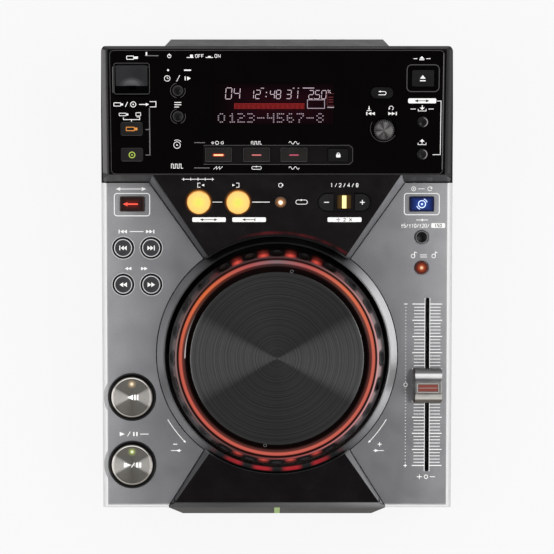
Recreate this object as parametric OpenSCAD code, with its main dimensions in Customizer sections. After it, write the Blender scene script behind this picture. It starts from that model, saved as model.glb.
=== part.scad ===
// Tabletop disc player for DJ use: slot-loading drive, jog wheel, tempo fader,
// raised display unit, transport, loop and search buttons.
// Frame: X to the right, Y to the rear, Z up; the origin is on the table below the
// middle of the case. The sloping deck, ramp and display panel each have a local frame
// (x, v, n): v runs up the slope to the rear and n stands square to the panel.

/* [Case] */
// Width over the side skirts
case_w = 217.9; // [215:0.1:224]
// Depth from the nose to the ends of the rear sockets
case_d = 301; // [299:0.5:306]
// Height over the rear edge of the display unit
case_h = 105.4; // [103:0.2:110]
// Thickness of the case walls
wall = 2.5; // [2:0.1:3]
// Height of the rubber feet
foot_h = 6; // [4:0.5:8]
// Radius of the rubber feet
foot_r = 10; // [7:0.5:12]
// Height of the joint between the black pan and the silver skirts
split_z = 30; // [26:0.5:32]
// Reach of the nose in front of the silver panels
nose_reach = 4.9; // [3.5:0.1:6]
// Length of the audio sockets behind the rear wall
socket_reach = 11.7; // [9:0.1:13]
// Width of the crowned bevel along the deck's side edges
edge_r = 3.4; // [2:0.1:4]

/* [Deck] */
// Slope of the deck, rising to the rear, in degrees
deck_tilt = 4.5; // [3.5:0.1:5.5]
// Height of the deck where the jog axis crosses it
deck_z0 = 64.4; // [63:0.1:67]
// Distance of the jog axis from the silver front wall
jog_setback = 95.9; // [94:0.1:98]
// Height of the front wedge above the silver deck
wedge_h = 3.5; // [2.5:0.1:4.5]
// Slope of the loop button ramp in degrees
ramp_tilt = 14; // [12:0.5:15]
// Half width of the centre frame at the display unit
frame_top_w = 79.3; // [77:0.1:81]
// Half width of the centre frame at the nose
frame_nose_w = 67.9; // [66:0.1:69]
// Width of the grey bevel round the black plates
bevel_w = 3.3; // [2.5:0.1:4]
// Thickness of the black plates in the centre frame
plate_t = 1.2; // [1:0.1:1.6]

/* [Jog wheel] */
// Outer radius of the bezel ring round the jog wheel
bezel_r = 74.8; // [73.5:0.1:76]
// Inner radius of the bezel ring
bezel_in = 69.4; // [68.6:0.1:70.4]
// Height of the bezel ring above the deck
bezel_h = 6.2; // [4:0.1:8]
// Radius of the finger dial
dial_r = 66.5; // [65:0.1:67.5]
// Number of finger dimples on the dial
dimple_count = 24; // [18:1:30]
// Radius of the lit ring, outside
ring_out = 60.4; // [59:0.1:61.5]
// Radius of the lit ring, inside
ring_in = 56.4; // [55.4:0.1:57.5]
// Height of the jog disc's top above the deck
jog_h = 22; // [20:0.5:25]
// Radius of the jog shaft
shaft_r = 4; // [3:0.1:5]
// Radial clearance of shafts in their bushes
fit = 0.05; // [0.03:0.01:0.09]

/* [Tempo fader] */
// Place of the fader slot from the centre line
fader_x = 93.5; // [92:0.1:95]
// Middle of the fader's travel, behind the jog axis
fader_v = -18.9; // [-22:0.1:-16]
// Travel of the fader to each side of its middle
fader_travel = 50.5; // [45:0.5:52]
// Width of the slot in the deck
fader_slot = 2.6; // [2.4:0.1:3.4]
// Height of the fader knob's top above the deck
knob_h = 16; // [13:0.5:18]
// Width of the fader knob at its foot
knob_w = 18.4; // [16:0.1:20]
// Length of the fader knob at its foot
knob_l = 21.4; // [18:0.1:23]

/* [Buttons] */
// Clearance round each button
button_gap = 0.25; // [0.15:0.05:0.35]
// Travel of the small buttons
travel = 0.8; // [0.5:0.1:1]
// Travel of the two transport buttons
big_travel = 1.5; // [1:0.1:2]
// Radius of the two transport buttons
transport_r = 12.7; // [11.5:0.1:13]
// Radius of the black rings round the transport buttons
transport_ring_r = 15; // [14.4:0.1:15.6]
// Radius of the track and search buttons
search_r = 5.8; // [5:0.1:6.2]
// Radius of the loop buttons
loop_r = 7.2; // [6.5:0.1:7.6]

/* [Display unit] */
// Slope of the display panel in degrees
head_tilt = 12.26; // [11.5:0.1:13]
// Half width of the display unit
head_w = 107; // [106:0.1:108]
// Depth of the display panel, in plan
head_d = 75.5; // [74:0.1:77]
// Height of the step on which the display unit stands
head_base_z = 72.6; // [71:0.1:74]
// Thickness of the display panel
panel_t = 3; // [2.5:0.1:3.5]
// Half width of the glossy display panel
panel_w = 101.6; // [100:0.1:102]
// Thickness of the lid over the USB port
lid_t = 1.6; // [1.2:0.1:2]

/* [Disc drive] */
// Height of the middle of the disc slot
slot_z = 39.5; // [38:0.5:41]
// Height of the disc slot
slot_h = 5; // [4.8:0.1:5.6]
// Half width of the disc slot
slot_w = 62.5; // [61:0.5:63.5]
// Radius of the discs that it plays
disc_r = 60; // [60:0.5:61]
// Radius of the turntable
turntable_r = 15; // [12:0.5:16]
// Radius of the loading roller
roller_r = 4; // [3:0.1:4.5]
// Radius of the pickup's guide rods
rod_r = 1.5; // [1.2:0.1:2]

/* [Hidden] */
$fn = 72;
eps = 0.01;
seam = 0.6;              // gap between neighbouring covers
front_y = -case_d / 2 + nose_reach;
rear_y = case_d / 2 - socket_reach;
nose_y = -case_d / 2;
jog_y = front_y + jog_setback;
function deck_z(y) = deck_z0 + (y - jog_y) * tan(deck_tilt);
function ramp_top(y) = ramp_z + (y - ramp_y) * tan(ramp_tilt);

head_y1 = rear_y - 2.2;                    // rear edge of the display panel
head_y0 = head_y1 - head_d;                // front edge of the display panel
head_z0 = case_h - head_d * tan(head_tilt);
head_foot_y = head_y0 - 3.5;               // foot of the display unit's front bevel
head_len = head_d / cos(head_tilt);
head_bevel_x = 4.3;
head_bevel_n = 7;
head_wall = 2.2;

ramp_y = head_y0 - 0.1;
ramp_z = head_z0 - 0.8;
frame_t = plate_t + 2.2;                   // thickness of the centre frame's skin
well_n = -3;                               // top of the floor under the jog wheel
well_t = 2.5;
waist_a = 52.9;                            // angle on the bezel ring where the waist ends
waist_x = bezel_r * cos(waist_a);
waist_v = bezel_r * sin(waist_a);
frame_top_v = (head_foot_y - jog_y) / cos(deck_tilt);
front_v = (front_y - jog_y) / cos(deck_tilt);

floor_z = foot_h + 2.2;                    // upper face of the pan's floor
pan_wall = 2.2;
pan_w = case_w / 2 - 1.2;
pan_front = front_y + 1.2;
boss_r = 4;
boss_z = floor_z + 2;
screw_r = 1.5;
screw_head_r = 3.1;
boss_x = case_w / 2 - 10.95;               // case screws, in from the sides
case_boss = [
    [-boss_x - 1, front_y + 7.6], [boss_x, front_y + 8.6], [-boss_x, jog_y + 24.7],
    [boss_x, head_foot_y - 0.6], [-boss_x, rear_y - 20.8], [boss_x, rear_y - 20.8]];
frame_boss = [[-71.3, jog_y], [71.3, jog_y], [-50, 30], [50, 30]];

board_t = 1.6;
deck_board_n = -9;                         // top of the boards below the deck
head_board_n = -9.4;
switch_h = 1.4;                            // height of the push switches on the boards
flange_gap = 0.3;
flange_t = 1;
flange_w = 1.1;

// Button places: deck and ramp buttons as [x, v]
transport_x = -case_w / 2 + 18.55;
cue_v = -26.6;
play_v = -69.1;
search_x = [-case_w / 2 + 13.55, -case_w / 2 + 30.95];
track_v = 66.6;
search_v = 43.8;
mode_x = case_w / 2 - 19.25;
mode_v = 93.8;
mode_size = [14.8, 9];
range_v = 73.3;
tempo_v = 54.3;
range_r = 4;
ramp_v = -16.9;
loop_x = [-48, -23.9];
reloop_x = 2.2;
reloop_r = 3.5;
beat_mid = 41.3;
beat_x = [beat_mid - 11.1, beat_mid + 11.1];
beat_size = [9.1, 10.2];
beat_window = [8.4, 8.2];
beat_well = [33.4, 12.6];
beat_rise = 0.6;

knob_ridge = 6.6;                          // length of the knob's flat top
knob_scoop_r = 10.2;                       // radius of its two finger scoops

// Places on the display panel as [x, v]
source_x = -panel_w + 13.1;
usb_v = 28.5;
disc_v = 12.5;
source_size = [13.6, 7.3];
mode_button_x = -panel_w + 41.4;
time_v = 51.9;
text_v = 36.1;
mode_button_r = 3.35;
effect_x = [-35.7, -12.5, 10.4];
effect_v = 12.4;
effect_size = [15.3, 7.7];
hold_x = 37.4;
hold_size = [12.2, 7.7];
strip = [[-44.4, 6.9], [45.6, 17.8]];
back_pos = [panel_w - 37.8, 50.6];
back_size = [13.4, 6.7];
side_x = panel_w - 12.8;
memory_v = 32.7;
call_v = 12.9;
side_r = 3.3;
eject_pos = [panel_w - 13, 59.4];
eject_size = [13.2, 9.9];
eject_well = [19.4, 16.2];
eject_depth = 1.2;
select_pos = [panel_w - 36.6, 28.6];
select_r = 6.1;
select_well_r = 7.9;
select_h = 8;
display_box = [[-38.5, 31], [34.5, 56.5]];
usb_well = [[-panel_w + 2.8, 48.3], [-panel_w + 24, 68]];
usb_depth = 7;
lid_l = 11.7;
lid_scoop_r = 15.7;
lid_scoop_reach = 1.7;                     // from the lid's edge to the middle of the scoop
lid_scoop_d = lid_t - 0.55;                // depth of the finger scoop in the lid's edge
hinge_r = 1.2;
hinge_pin_r = 0.7;
usb_port = [5.2, 12.6];

// Disc drive
disc_y = front_y + 67.6;
slot_lo = slot_z - slot_h / 2;
slot_hi = slot_z + slot_h / 2;
drive_t = 1.5;
drive_w = disc_r + 3.6;
drive_front = front_y + 7.4;
drive_rear = disc_y + disc_r + 16;
drive_z = foot_h + 10;
drive_top = slot_hi + 3;
spindle_r = 1.2;
motor_r = 13;
motor_top = drive_z + drive_t + 12;
roller_y = drive_front + 7;
roller_z = slot_lo - roller_r - 0.5;
rod_x = 17;
rod_z = drive_z + 12;
pickup_y = disc_y + 42;
pickup_l = 16;
pickup_w = 42;

// Rear
rca_x = [24, 42];
rca_z = foot_h + 16;
rca_r = 4.15;
switch_x = -78.7;
switch_z = 60;
inlet_x = -80;
usbb_x = -20;
control_x = 2;
bar_w0 = 68.1;
bar_w1 = 65.5;
bar_reach = 6.6;

silver = "#8f9094";
dark_grey = "#5b5a5a";
black = "#1a1718";
gloss = "#0a0606";
steel = "#a8abae";
board_green = "#1d5a34";

// ---- local frames -------------------------------------------------------------------
module on_deck(x = 0, v = 0, n = 0) {
    translate([0, jog_y, deck_z0]) rotate([deck_tilt, 0, 0]) translate([x, v, n]) children();
}

module on_ramp(x = 0, v = 0, n = 0) {
    translate([0, ramp_y, ramp_z]) rotate([ramp_tilt, 0, 0]) translate([x, v, n]) children();
}

module on_head(x = 0, v = 0, n = 0) {
    translate([0, head_y0, head_z0]) rotate([head_tilt, 0, 0]) translate([x, v, n]) children();
}

// ---- plain shapes -------------------------------------------------------------------
// Square with round corners, about the origin
module round_rect(w, l, r) {
    square([w - 2 * r, l], center = true);
    square([w, l - 2 * r], center = true);
    for (sx = [-1, 1], sy = [-1, 1])
        translate([sx * (w / 2 - r), sy * (l / 2 - r)]) circle(r = r);
}

module block(size, r, z0, z1) {
    translate([0, 0, z0]) linear_extrude(z1 - z0) round_rect(size[0], size[1], r);
}

module disc(r, z0, z1) {
    translate([0, 0, z0]) cylinder(r = r, h = z1 - z0);
}

module ring(r_in, r_out, z0, z1) {
    difference() {
        disc(r_out, z0, z1);
        disc(r_in, z0 - 1, z1 + 1);
    }
}

// Side view outline, points as [y, z], spread to half width w
module side_slab(w, points) {
    rotate([90, 0, 90]) translate([0, 0, -w]) linear_extrude(2 * w) polygon(points);
}

// Rod along X between x0 and x1
module rod_x(r, x0, x1, y, z) {
    translate([x0, y, z]) rotate([0, 90, 0]) cylinder(r = r, h = x1 - x0);
}

// Rod along Y between y0 and y1
module rod_y(r, x, y0, y1, z) {
    translate([x, y1, z]) rotate([90, 0, 0]) cylinder(r = r, h = y1 - y0);
}

// ---- buttons ------------------------------------------------------------------------
// A button is a cap through the panel, a flange under it that keeps it in, and a stem
// that stops just over the push switch. skin is the panel's thickness.
function stem_end(board_n, stroke) = board_n + switch_h + stroke + 0.2;

module round_button(r, rise, skin, board_n, stroke, dish = 0) {
    under = -skin - flange_gap;
    soft = min(0.5, rise / 2);
    difference() {
        union() {
            rotate_extrude() polygon([
                [0, under - flange_t], [r, under - flange_t], [r, rise - soft],
                [r - soft, rise], [0, rise]]);
            disc(r + flange_w, under - flange_t, under);
            disc(min(2.2, r), stem_end(board_n, stroke), under);
        }
        if (dish > 0) {
            dome = (pow(r - 1, 2) + dish * dish) / (2 * dish);
            translate([0, 0, rise - dish + dome]) sphere(r = dome);
        }
    }
}

module square_button(size, rise, skin, board_n, stroke, r = 0.6) {
    under = -skin - flange_gap;
    block(size, r, under - flange_t, rise);
    block([size[0] + 2 * flange_w, size[1] + 2 * flange_w], r, under - flange_t, under);
    disc(2.2, stem_end(board_n, stroke), under);
}

// Outline with a flat side at -x and a round end at +x, grown by g
module round_end(size, g) {
    r = size[1] / 2 + g;
    x = size[0] / 2 + g;
    polygon(concat([for (a = [-90 : 10 : 90]) [x - r + r * cos(a), r * sin(a)]], [[-x, r], [-x, -r]]));
}

// Beat button, 0 for the left one and 1 for the right one
module beat_button(i) {
    under = -frame_t - flange_gap;
    color("#252324") on_ramp(beat_x[i], ramp_v, 0) rotate(180 - 180 * i) {
        translate([0, 0, under - flange_t]) linear_extrude(beat_rise - under + flange_t)
            round_end(beat_size, 0);
        translate([0, 0, under - flange_t]) linear_extrude(flange_t) round_end(beat_size, flange_w);
        disc(2.2, stem_end(deck_board_n, travel), under);
    }
}

module round_hole(r) {
    disc(r + button_gap, -20, 20);
}

module square_hole(size, r = 0.6) {
    block([size[0] + 2 * button_gap, size[1] + 2 * button_gap], r + button_gap, -20, 20);
}

// Circuit board with a push switch below each button place
module board(size, places, x, v, n) {
    translate([x, v, 0]) block(size, 1, n - board_t, n);
    for (p = places)
        translate([p[0], p[1], n + switch_h / 2]) cube([6, 6, switch_h], center = true);
}

// Posts that carry a board below a panel, with a screw hole in each
module board_posts(places, top, n) {
    for (p = places) translate([p[0], p[1], 0]) ring(screw_r - 0.4, 3, n, top);
}

// ---- covers -------------------------------------------------------------------------
// Outline of the centre frame on the deck, grown by g
module waist(g) {
    circle(r = bezel_r + g);
    polygon([
        [-waist_x - g, waist_v], [waist_x + g, waist_v], [frame_top_w + g, frame_top_v],
        [frame_top_w + g, frame_top_v + 120], [-frame_top_w - g, frame_top_v + 120],
        [-frame_top_w - g, frame_top_v]]);
    polygon([
        [-waist_x - g, -waist_v], [waist_x + g, -waist_v], [frame_nose_w + g, front_v],
        [frame_nose_w + g, front_v - 20], [-frame_nose_w - g, front_v - 20],
        [-frame_nose_w - g, front_v]]);
}

// Crowned bevel of unit width: the point where it slopes by a degrees
bevel_top = 30;
bevel_side = 65;
function crown(a) = [sin(a) - sin(bevel_top), cos(a) - cos(bevel_top)]
    / (sin(bevel_side) - sin(bevel_top));

// The deck and its skirts as a solid, t inside the outer faces
module deck_form(t, y_end) {
    w = case_w / 2 - t;
    r = edge_r - min(t, edge_r - 0.4);
    fr = 2.4 - min(t, 2);
    z_front = deck_z(front_y + t) - t / cos(deck_tilt);
    top = head_base_z - t;
    meet_y = jog_y + (top - deck_z0 + t / cos(deck_tilt)) / tan(deck_tilt);
    intersection() {
        side_slab(w, concat(
            [[y_end, split_z - t], [front_y + t, split_z - t]],
            [for (a = [180 : -15 : 90 + deck_tilt])
                [front_y + t + fr + fr * cos(a), z_front - fr + 0.1 + fr * sin(a)]],
            [[min(meet_y, y_end), top], [y_end, top]]));
        on_deck() rotate([90, 0, 0]) translate([0, 0, -250]) linear_extrude(400)
            polygon(concat(
                [[-w, -t - 60], [w, -t - 60]],
                [for (a = [bevel_side : -7 : bevel_top]) [w - r, -t] + r * crown(a)],
                [for (a = [bevel_top : 7 : bevel_side]) [r - w, -t] + r * [-crown(a)[0], crown(a)[1]]]));
    }
}

module silver_shell() {
    difference() {
        deck_form(0, rear_y);
        deck_form(wall, rear_y + 5);
        translate([0, 0, split_z - wall]) cube([2 * case_w, 2 * case_d, 2 * wall], center = true);
        on_deck() translate([0, 0, -40]) linear_extrude(80) waist(seam);
        on_deck(-frame_nose_w - seam, front_v - 10, -60)
            cube([2 * (frame_nose_w + seam), 22, 60 - wall - 0.1]);
    }
}

// Bosses from the deck down to the pan, one for each case screw on side s
module deck_bosses(s) {
    for (p = case_boss) if (s * p[0] > 0) {
        top = min(deck_z(p[1]), head_base_z) - wall / 2;
        translate([p[0], p[1], 0]) ring(screw_r + 0.1, boss_r, boss_z, top);
    }
}

module half(s) {
    intersection() {
        children();
        translate([s * case_w, 0, case_h / 2]) cube([2 * case_w, 2 * case_d, 2 * case_h], center = true);
    }
}

search_mid = (search_x[0] + search_x[1]) / 2;
left_posts = [
    [search_mid, 72], [search_mid, 38], [search_x[0] - 5.6, 55.2], [search_x[1] + 5.5, 55.2]];
transport_posts = [for (x = [-10.6, 0, 10.4]) [transport_x + x, -47.8]];
right_posts = [for (x = [-9.2, 9.3], v = [84, 48]) [mode_x + x, v]];
direction_posts = [[-mode_x - 12.3, 88.5], [-mode_x - 12.3, 98], [-mode_x + 11.7, 86]];

module left_panel() {
    color(silver) difference() {
        union() {
            half(-1) silver_shell();
            deck_bosses(-1);
            on_deck() {
                board_posts(left_posts, -wall / 2, deck_board_n);
                board_posts(transport_posts, -wall / 2, deck_board_n);
                board_posts(direction_posts, -wall / 2, deck_board_n);
                for (v = [cue_v, play_v]) translate([transport_x, v, 0])
                    disc(transport_ring_r + 2.6, -wall, 0);
                for (x = search_x, v = [track_v, search_v])
                    translate([x, v, 0]) ring(search_r + 0.9, search_r + 1.5, -wall / 2, 0.35);
            }
        }
        on_deck() {
            for (v = [cue_v, play_v]) translate([transport_x, v, 0]) {
                disc(transport_ring_r + 0.1, -20, 20);
                disc(transport_ring_r + 1.4, -6, -wall);
            }
            for (x = search_x, v = [track_v, search_v]) translate([x, v, 0]) {
                round_hole(search_r);
                disc(search_r + 0.9, -0.8, 5);
            }
            translate([-mode_x, mode_v, 0]) square_hole(mode_size);
        }
    }
}

module right_panel() {
    color(silver) difference() {
        union() {
            half(1) silver_shell();
            deck_bosses(1);
            on_deck() board_posts(right_posts, -wall / 2, deck_board_n);
        }
        on_deck() {
            translate([mode_x, mode_v, 0]) square_hole(mode_size);
            for (v = [range_v, tempo_v]) translate([mode_x, v, 0]) {
                round_hole(range_r);
                disc(range_r + 0.75, -0.8, 5);
            }
            translate([fader_x, fader_v, 0])
                block([fader_slot, 2 * fader_travel + 8], fader_slot / 2 - eps, -10, 10);
        }
    }
}

module button_rings() {
    color(black) on_deck() for (v = [cue_v, play_v]) translate([transport_x, v, 0])
        rotate_extrude() polygon([
            [transport_r + button_gap, -wall - 1.2], [transport_ring_r + 1.2, -wall - 1.2],
            [transport_ring_r + 1.2, -wall - 0.1], [transport_ring_r, -wall - 0.1],
            [transport_ring_r, 0.3], [transport_ring_r - 0.5, 0.8],
            [transport_r + 1.1, 0.2], [transport_r + button_gap, -0.8]]);
}

// Ramp of the centre frame: from the waist on the deck up to the display panel.
// t is the distance inside the outer faces and g a growth outside them.
module ramp_form(t, g = 0) {
    low = t - g;
    side = t - g;
    v_near = (jog_y + waist_v * cos(deck_tilt) - ramp_y) / cos(ramp_tilt);
    hull() {
        on_deck(0, 0, -low - 1) linear_extrude(1) polygon([
            [-waist_x + side, waist_v], [waist_x - side, waist_v],
            [frame_top_w - side, frame_top_v], [frame_top_w - side, frame_top_v + 3.4 + g],
            [-frame_top_w + side, frame_top_v + 3.4 + g], [-frame_top_w + side, frame_top_v]]);
        on_ramp(0, 0, -low - 1) linear_extrude(1) polygon([
            [-waist_x + bevel_w + side, v_near], [waist_x - bevel_w - side, v_near],
            [frame_top_w - bevel_w + 0.6 - side, g], [-frame_top_w + bevel_w - 0.6 + side, g]]);
    }
}

// Front wedge of the centre frame, t inside its outer faces
module wedge_form(t) {
    hull() {
        on_deck(0, 0, -t - 1) linear_extrude(1) polygon([
            [-waist_x + t, -waist_v], [waist_x - t, -waist_v],
            [frame_nose_w - t, front_v], [-frame_nose_w + t, front_v]]);
        on_deck(0, 0, wedge_h - t - 0.8) linear_extrude(0.8) polygon([
            [-waist_x + bevel_w + 1 + t, -waist_v], [waist_x - bevel_w - 1 - t, -waist_v],
            [frame_nose_w - bevel_w - 1 - t, nose_top_v],
            [-frame_nose_w + bevel_w + 1 + t, nose_top_v]]);
    }
}

nose_top_y = front_y + 3.5;
nose_top_v = (nose_top_y - jog_y) / cos(deck_tilt);
nose_top_z = deck_z(nose_top_y) + wedge_h / cos(deck_tilt);
nose_lip_z = slot_hi + 2;
nose_foot_z = 20;

// Nose with the disc slot, t inside its outer faces
module nose_form(t) {
    intersection() {
        side_slab(frame_nose_w, [
            [nose_top_y + 8, nose_top_z - 6 - t], [nose_top_y + t, nose_top_z - t - 0.3],
            [nose_y + t, nose_lip_z - t / 2], [nose_y + t, slot_lo - 2],
            [nose_y + 1.9 + t, nose_foot_z + 4], [nose_y + 4.6 + t, nose_foot_z + t],
            [nose_top_y + 8, nose_foot_z + t]]);
        linear_extrude(case_h) polygon([
            [-frame_nose_w + t, front_y + 20], [-frame_nose_w + t, nose_y + 4.5],
            [-frame_nose_w + 8.5 + t, nose_y + t / 2], [frame_nose_w - 8.5 - t, nose_y + t / 2],
            [frame_nose_w - t, nose_y + 4.5], [frame_nose_w - t, front_y + 20]]);
    }
}

// Slot for the light guide in the nose, g wider to each side
module nose_light(g) {
    w = 1.75 + g;
    side_slab(w, [
        [nose_top_y - 0.5, nose_top_z - 1.3 + 3 * g], [nose_y - g, nose_lip_z + 3 * g],
        [nose_y - g, nose_lip_z - 0.3 - g], [nose_y + 2.4, nose_lip_z + 0.1 - g],
        [nose_top_y + 2.2 + g, nose_top_z - 2.7 - g],
        [nose_top_y + 2.2 + g, nose_top_z - 2.1 + g]]);
}

module ramp_holes() {
    on_ramp() {
        for (x = loop_x) translate([x, ramp_v, 0]) round_hole(loop_r);
        translate([reloop_x, ramp_v, 0]) round_hole(reloop_r);
        for (i = [0, 1]) translate([beat_x[i], ramp_v, -20]) rotate(180 - 180 * i)
            linear_extrude(40) round_end(beat_size, button_gap);
        translate([beat_mid, ramp_v, 0]) square_hole(beat_window);
    }
}

ramp_posts = [for (x = [-36, -9, 15], v = [-20, -10]) [x, v]];

// Ramp behind the jog wheel, a hollow shell open downward
module ramp_shell() {
    difference() {
        ramp_form(0);
        ramp_form(frame_t);
        on_deck() disc(bezel_r - 0.6, -30, 60);
        ramp_recess(0);
        ramp_holes();
    }
    on_ramp() board_posts(ramp_posts, -frame_t + 0.6, deck_board_n);
}

// Wedge in front of the jog wheel
module wedge_shell() {
    difference() {
        wedge_form(0);
        wedge_form(frame_t - 0.6);
        on_deck() disc(bezel_r - 0.6, -30, 60);
        front_recess(0);
        nose_light(0.1);
    }
}

// Nose with the slot for the discs and the seat of the light guide
module nose_shell() {
    difference() {
        nose_form(0);
        nose_form(frame_t - 1);
        translate([0, pan_front + 10, nose_foot_z])
            cube([2 * frame_nose_w - 5, 20, 2 * (slot_lo - 3 - nose_foot_z)], center = true);
        translate([0, nose_top_y + 5.1, 50]) cube([2 * frame_nose_w - 7, 10, 60], center = true);
        nose_light(0.1);
        translate([0, nose_y, slot_z]) cube([2 * slot_w, 30, slot_h], center = true);
        difference() {
            on_deck(-case_w, front_v - 30, -wall - 0.3) cube([2 * case_w, 80, 40]);
            on_deck(0, 0, -40) linear_extrude(100) waist(0);
        }
    }
}

// Bezel ring and the floor under the jog wheel
module jog_well() {
    on_deck() difference() {
        rotate_extrude() polygon([
            [20, well_n - well_t], [bezel_r, well_n - well_t], [bezel_r, 0.3],
            [bezel_in + 1.2, bezel_h], [bezel_in + 0.3, bezel_h], [bezel_in, bezel_h - 0.4],
            [bezel_in, well_n], [20, well_n]]);
        for (a = [45 : 90 : 315]) rotate(a) translate([26, 0, 0]) disc(screw_r + 0.2, -8, 0);
    }
}

module center_frame() {
    color(dark_grey) {
        ramp_shell();
        wedge_shell();
        nose_shell();
        jog_well();
        for (p = frame_boss) translate([p[0], p[1], 0])
            ring(screw_r + 0.1, boss_r, boss_z, p[1] > 0 ? ramp_top(p[1]) - 2.6 : deck_z(p[1]) - 4);
    }
}

// Shallow seats of the black plates, c smaller all round
module ramp_recess(c) {
    difference() {
        on_ramp() translate([0, 0, -plate_t]) linear_extrude(c > 0 ? plate_t : plate_t + 5) polygon([
            [-waist_x + bevel_w + 0.4 + c, -53], [waist_x - bevel_w - 0.4 - c, -53],
            [frame_top_w - bevel_w - c, 0.1 - c], [-frame_top_w + bevel_w + c, 0.1 - c]]);
        on_deck() disc(bezel_r + c, -30, 60);
    }
}

module front_recess(c) {
    inset = bevel_w + 1 + c;
    difference() {
        on_deck() translate([0, 0, wedge_h - plate_t])
            linear_extrude(c > 0 ? plate_t : plate_t + 5) polygon([
                [-waist_x + inset, -waist_v], [-waist_x + inset, -50], [waist_x - inset, -50],
                [waist_x - inset, -waist_v], [frame_nose_w - inset, nose_top_v + 0.4 + c],
                [-frame_nose_w + inset, nose_top_v + 0.4 + c]]);
        on_deck() disc(bezel_r + c, -30, 60);
    }
}

module center_plates() {
    color(black) {
        difference() {
            ramp_recess(0.1);
            ramp_holes();
            on_ramp(beat_mid, ramp_v, 0) block(beat_well, beat_well[1] / 2 - 0.05, -beat_rise, 5);
        }
        front_recess(0.1);
    }
}

module led_lenses() {
    color("#9fb368") nose_light(0);
    color("#57430f") on_ramp(beat_mid, ramp_v, 0) block(beat_window, 0.6, -frame_t - 0.5, -0.4);
    color("#57430f") on_ramp(beat_mid, ramp_v, 0)
        block([beat_window[0] + 2, beat_window[1] + 2], 0.6, -frame_t - 1.6, -frame_t - 0.4);
}

// The display unit as a solid, t inside its outer faces and open downward by drop
module head_form(t, drop = 0) {
    intersection() {
        side_slab(case_w / 2, [
            [head_foot_y + t, head_base_z - drop], [head_foot_y + t, head_base_z + 3.4],
            [head_y0 + t, head_z0 - t], [head_y1 - t * 0.6, case_h - t],
            [rear_y - t, case_h - 5], [rear_y - t, head_base_z - drop]]);
        on_head() rotate([90, 0, 0]) translate([0, 0, -100]) linear_extrude(160) polygon([
            [-head_w + t, -60], [head_w - t, -60], [head_w - t, -head_bevel_n],
            [head_w - head_bevel_x - t, eps - t], [-head_w + head_bevel_x + t, eps - t],
            [-head_w + t, -head_bevel_n]]);
        linear_extrude(2 * case_h) translate([0, rear_y - t - 50])
            round_rect(2 * (head_w - t), 100, 3.2);
    }
}

head_posts = [[-70, 62], [-70, 22], [-50, 68], [-50, 22], [52, 10], [52, 68], [74, 68], [78, 18]];

module head_case() {
    pw = 2 * panel_w;
    color(dark_grey) difference() {
        head_form(0);
        head_form(head_wall, 5);
        on_head(0, head_len / 2, 0) {
            block([pw, head_len - 2 * head_rim], 2, -panel_t - 0.05, 5);
            block([pw - 5, head_len - 2 * head_rim - 5], 2, -8, 5);
        }
        ramp_form(0, 0.25);
        translate([0, head_foot_y, head_base_z - 1])
            cube([2 * (frame_top_w + 0.3), 12, 8], center = true);
    }
}
head_rim = 0.9;

module pocket(box, depth) {
    size = box[1] - box[0];
    mid = (box[0] + box[1]) / 2;
    translate([mid[0], mid[1], 0]) block(size, 2, -depth, 10);
}

module head_holes() {
    for (v = [usb_v, disc_v]) translate([source_x, v, 0]) square_hole(source_size);
    for (v = [time_v, text_v]) translate([mode_button_x, v, 0]) {
        round_hole(mode_button_r);
        disc(mode_button_r + 0.7, -0.6, 5);
    }
    for (x = effect_x) translate([x, effect_v, 0]) square_hole(effect_size);
    translate([hold_x, effect_v, 0]) square_hole(hold_size);
    translate([back_pos[0], back_pos[1], 0]) square_hole(back_size, back_size[1] / 2 - 0.05);
    for (v = [memory_v, call_v]) translate([side_x, v, 0]) round_hole(side_r);
    translate([eject_pos[0], eject_pos[1], 0]) {
        square_hole(eject_size);
        block(eject_well, 2.6, -eject_depth, 5);
    }
    translate([select_pos[0], select_pos[1], 0]) {
        disc(select_well_r, -1.8, 5);
        disc(2.9, -10, 5);
    }
}

// Recess round the effect buttons, with cut corners
module strip_recess() {
    c = 2.2;
    a = strip[0];
    b = strip[1];
    translate([0, 0, -0.6]) linear_extrude(5) polygon([
        [a[0] + c, a[1]], [b[0] - c, a[1]], [b[0], a[1] + c], [b[0], b[1] - c],
        [b[0] - c, b[1]], [a[0] + c, b[1]], [a[0], b[1] - c], [a[0], a[1] + c]]);
}

lid_axis_v = usb_well[1][1] - hinge_r - 0.4;
lid_axis_n = -hinge_r - 0.25;
well_mid = (usb_well[0] + usb_well[1]) / 2;
lid_w = usb_well[1][0] - usb_well[0][0] - 2;

module display_panel() {
    display = display_box[1] - display_box[0];
    display_mid = (display_box[0] + display_box[1]) / 2;
    well = usb_well[1] - usb_well[0];
    color(gloss) on_head() difference() {
        union() {
            translate([0, head_len / 2, 0])
                block([2 * panel_w - 0.2, head_len - 2 * head_rim - 0.2], 2, -panel_t, 0);
            translate([well_mid[0], well_mid[1], 0])
                block(well + [3, 3], 2.5, -usb_depth - 1.5, -panel_t / 2);
            board_posts(head_posts, -panel_t / 2, head_board_n);
        }
        pocket(usb_well, usb_depth);
        translate([well_mid[0], well_mid[1] - 1, 0]) block(usb_port + [0.4, 0.4], 0.4, -20, 5);
        translate([display_mid[0], display_mid[1], 0]) block(display + [0.3, 0.3], 1, -10, 5);
        rod_x(hinge_pin_r + fit, usb_well[0][0] - 1, usb_well[1][0] + 1, lid_axis_v, lid_axis_n);
        strip_recess();
        head_holes();
    }
}

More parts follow.
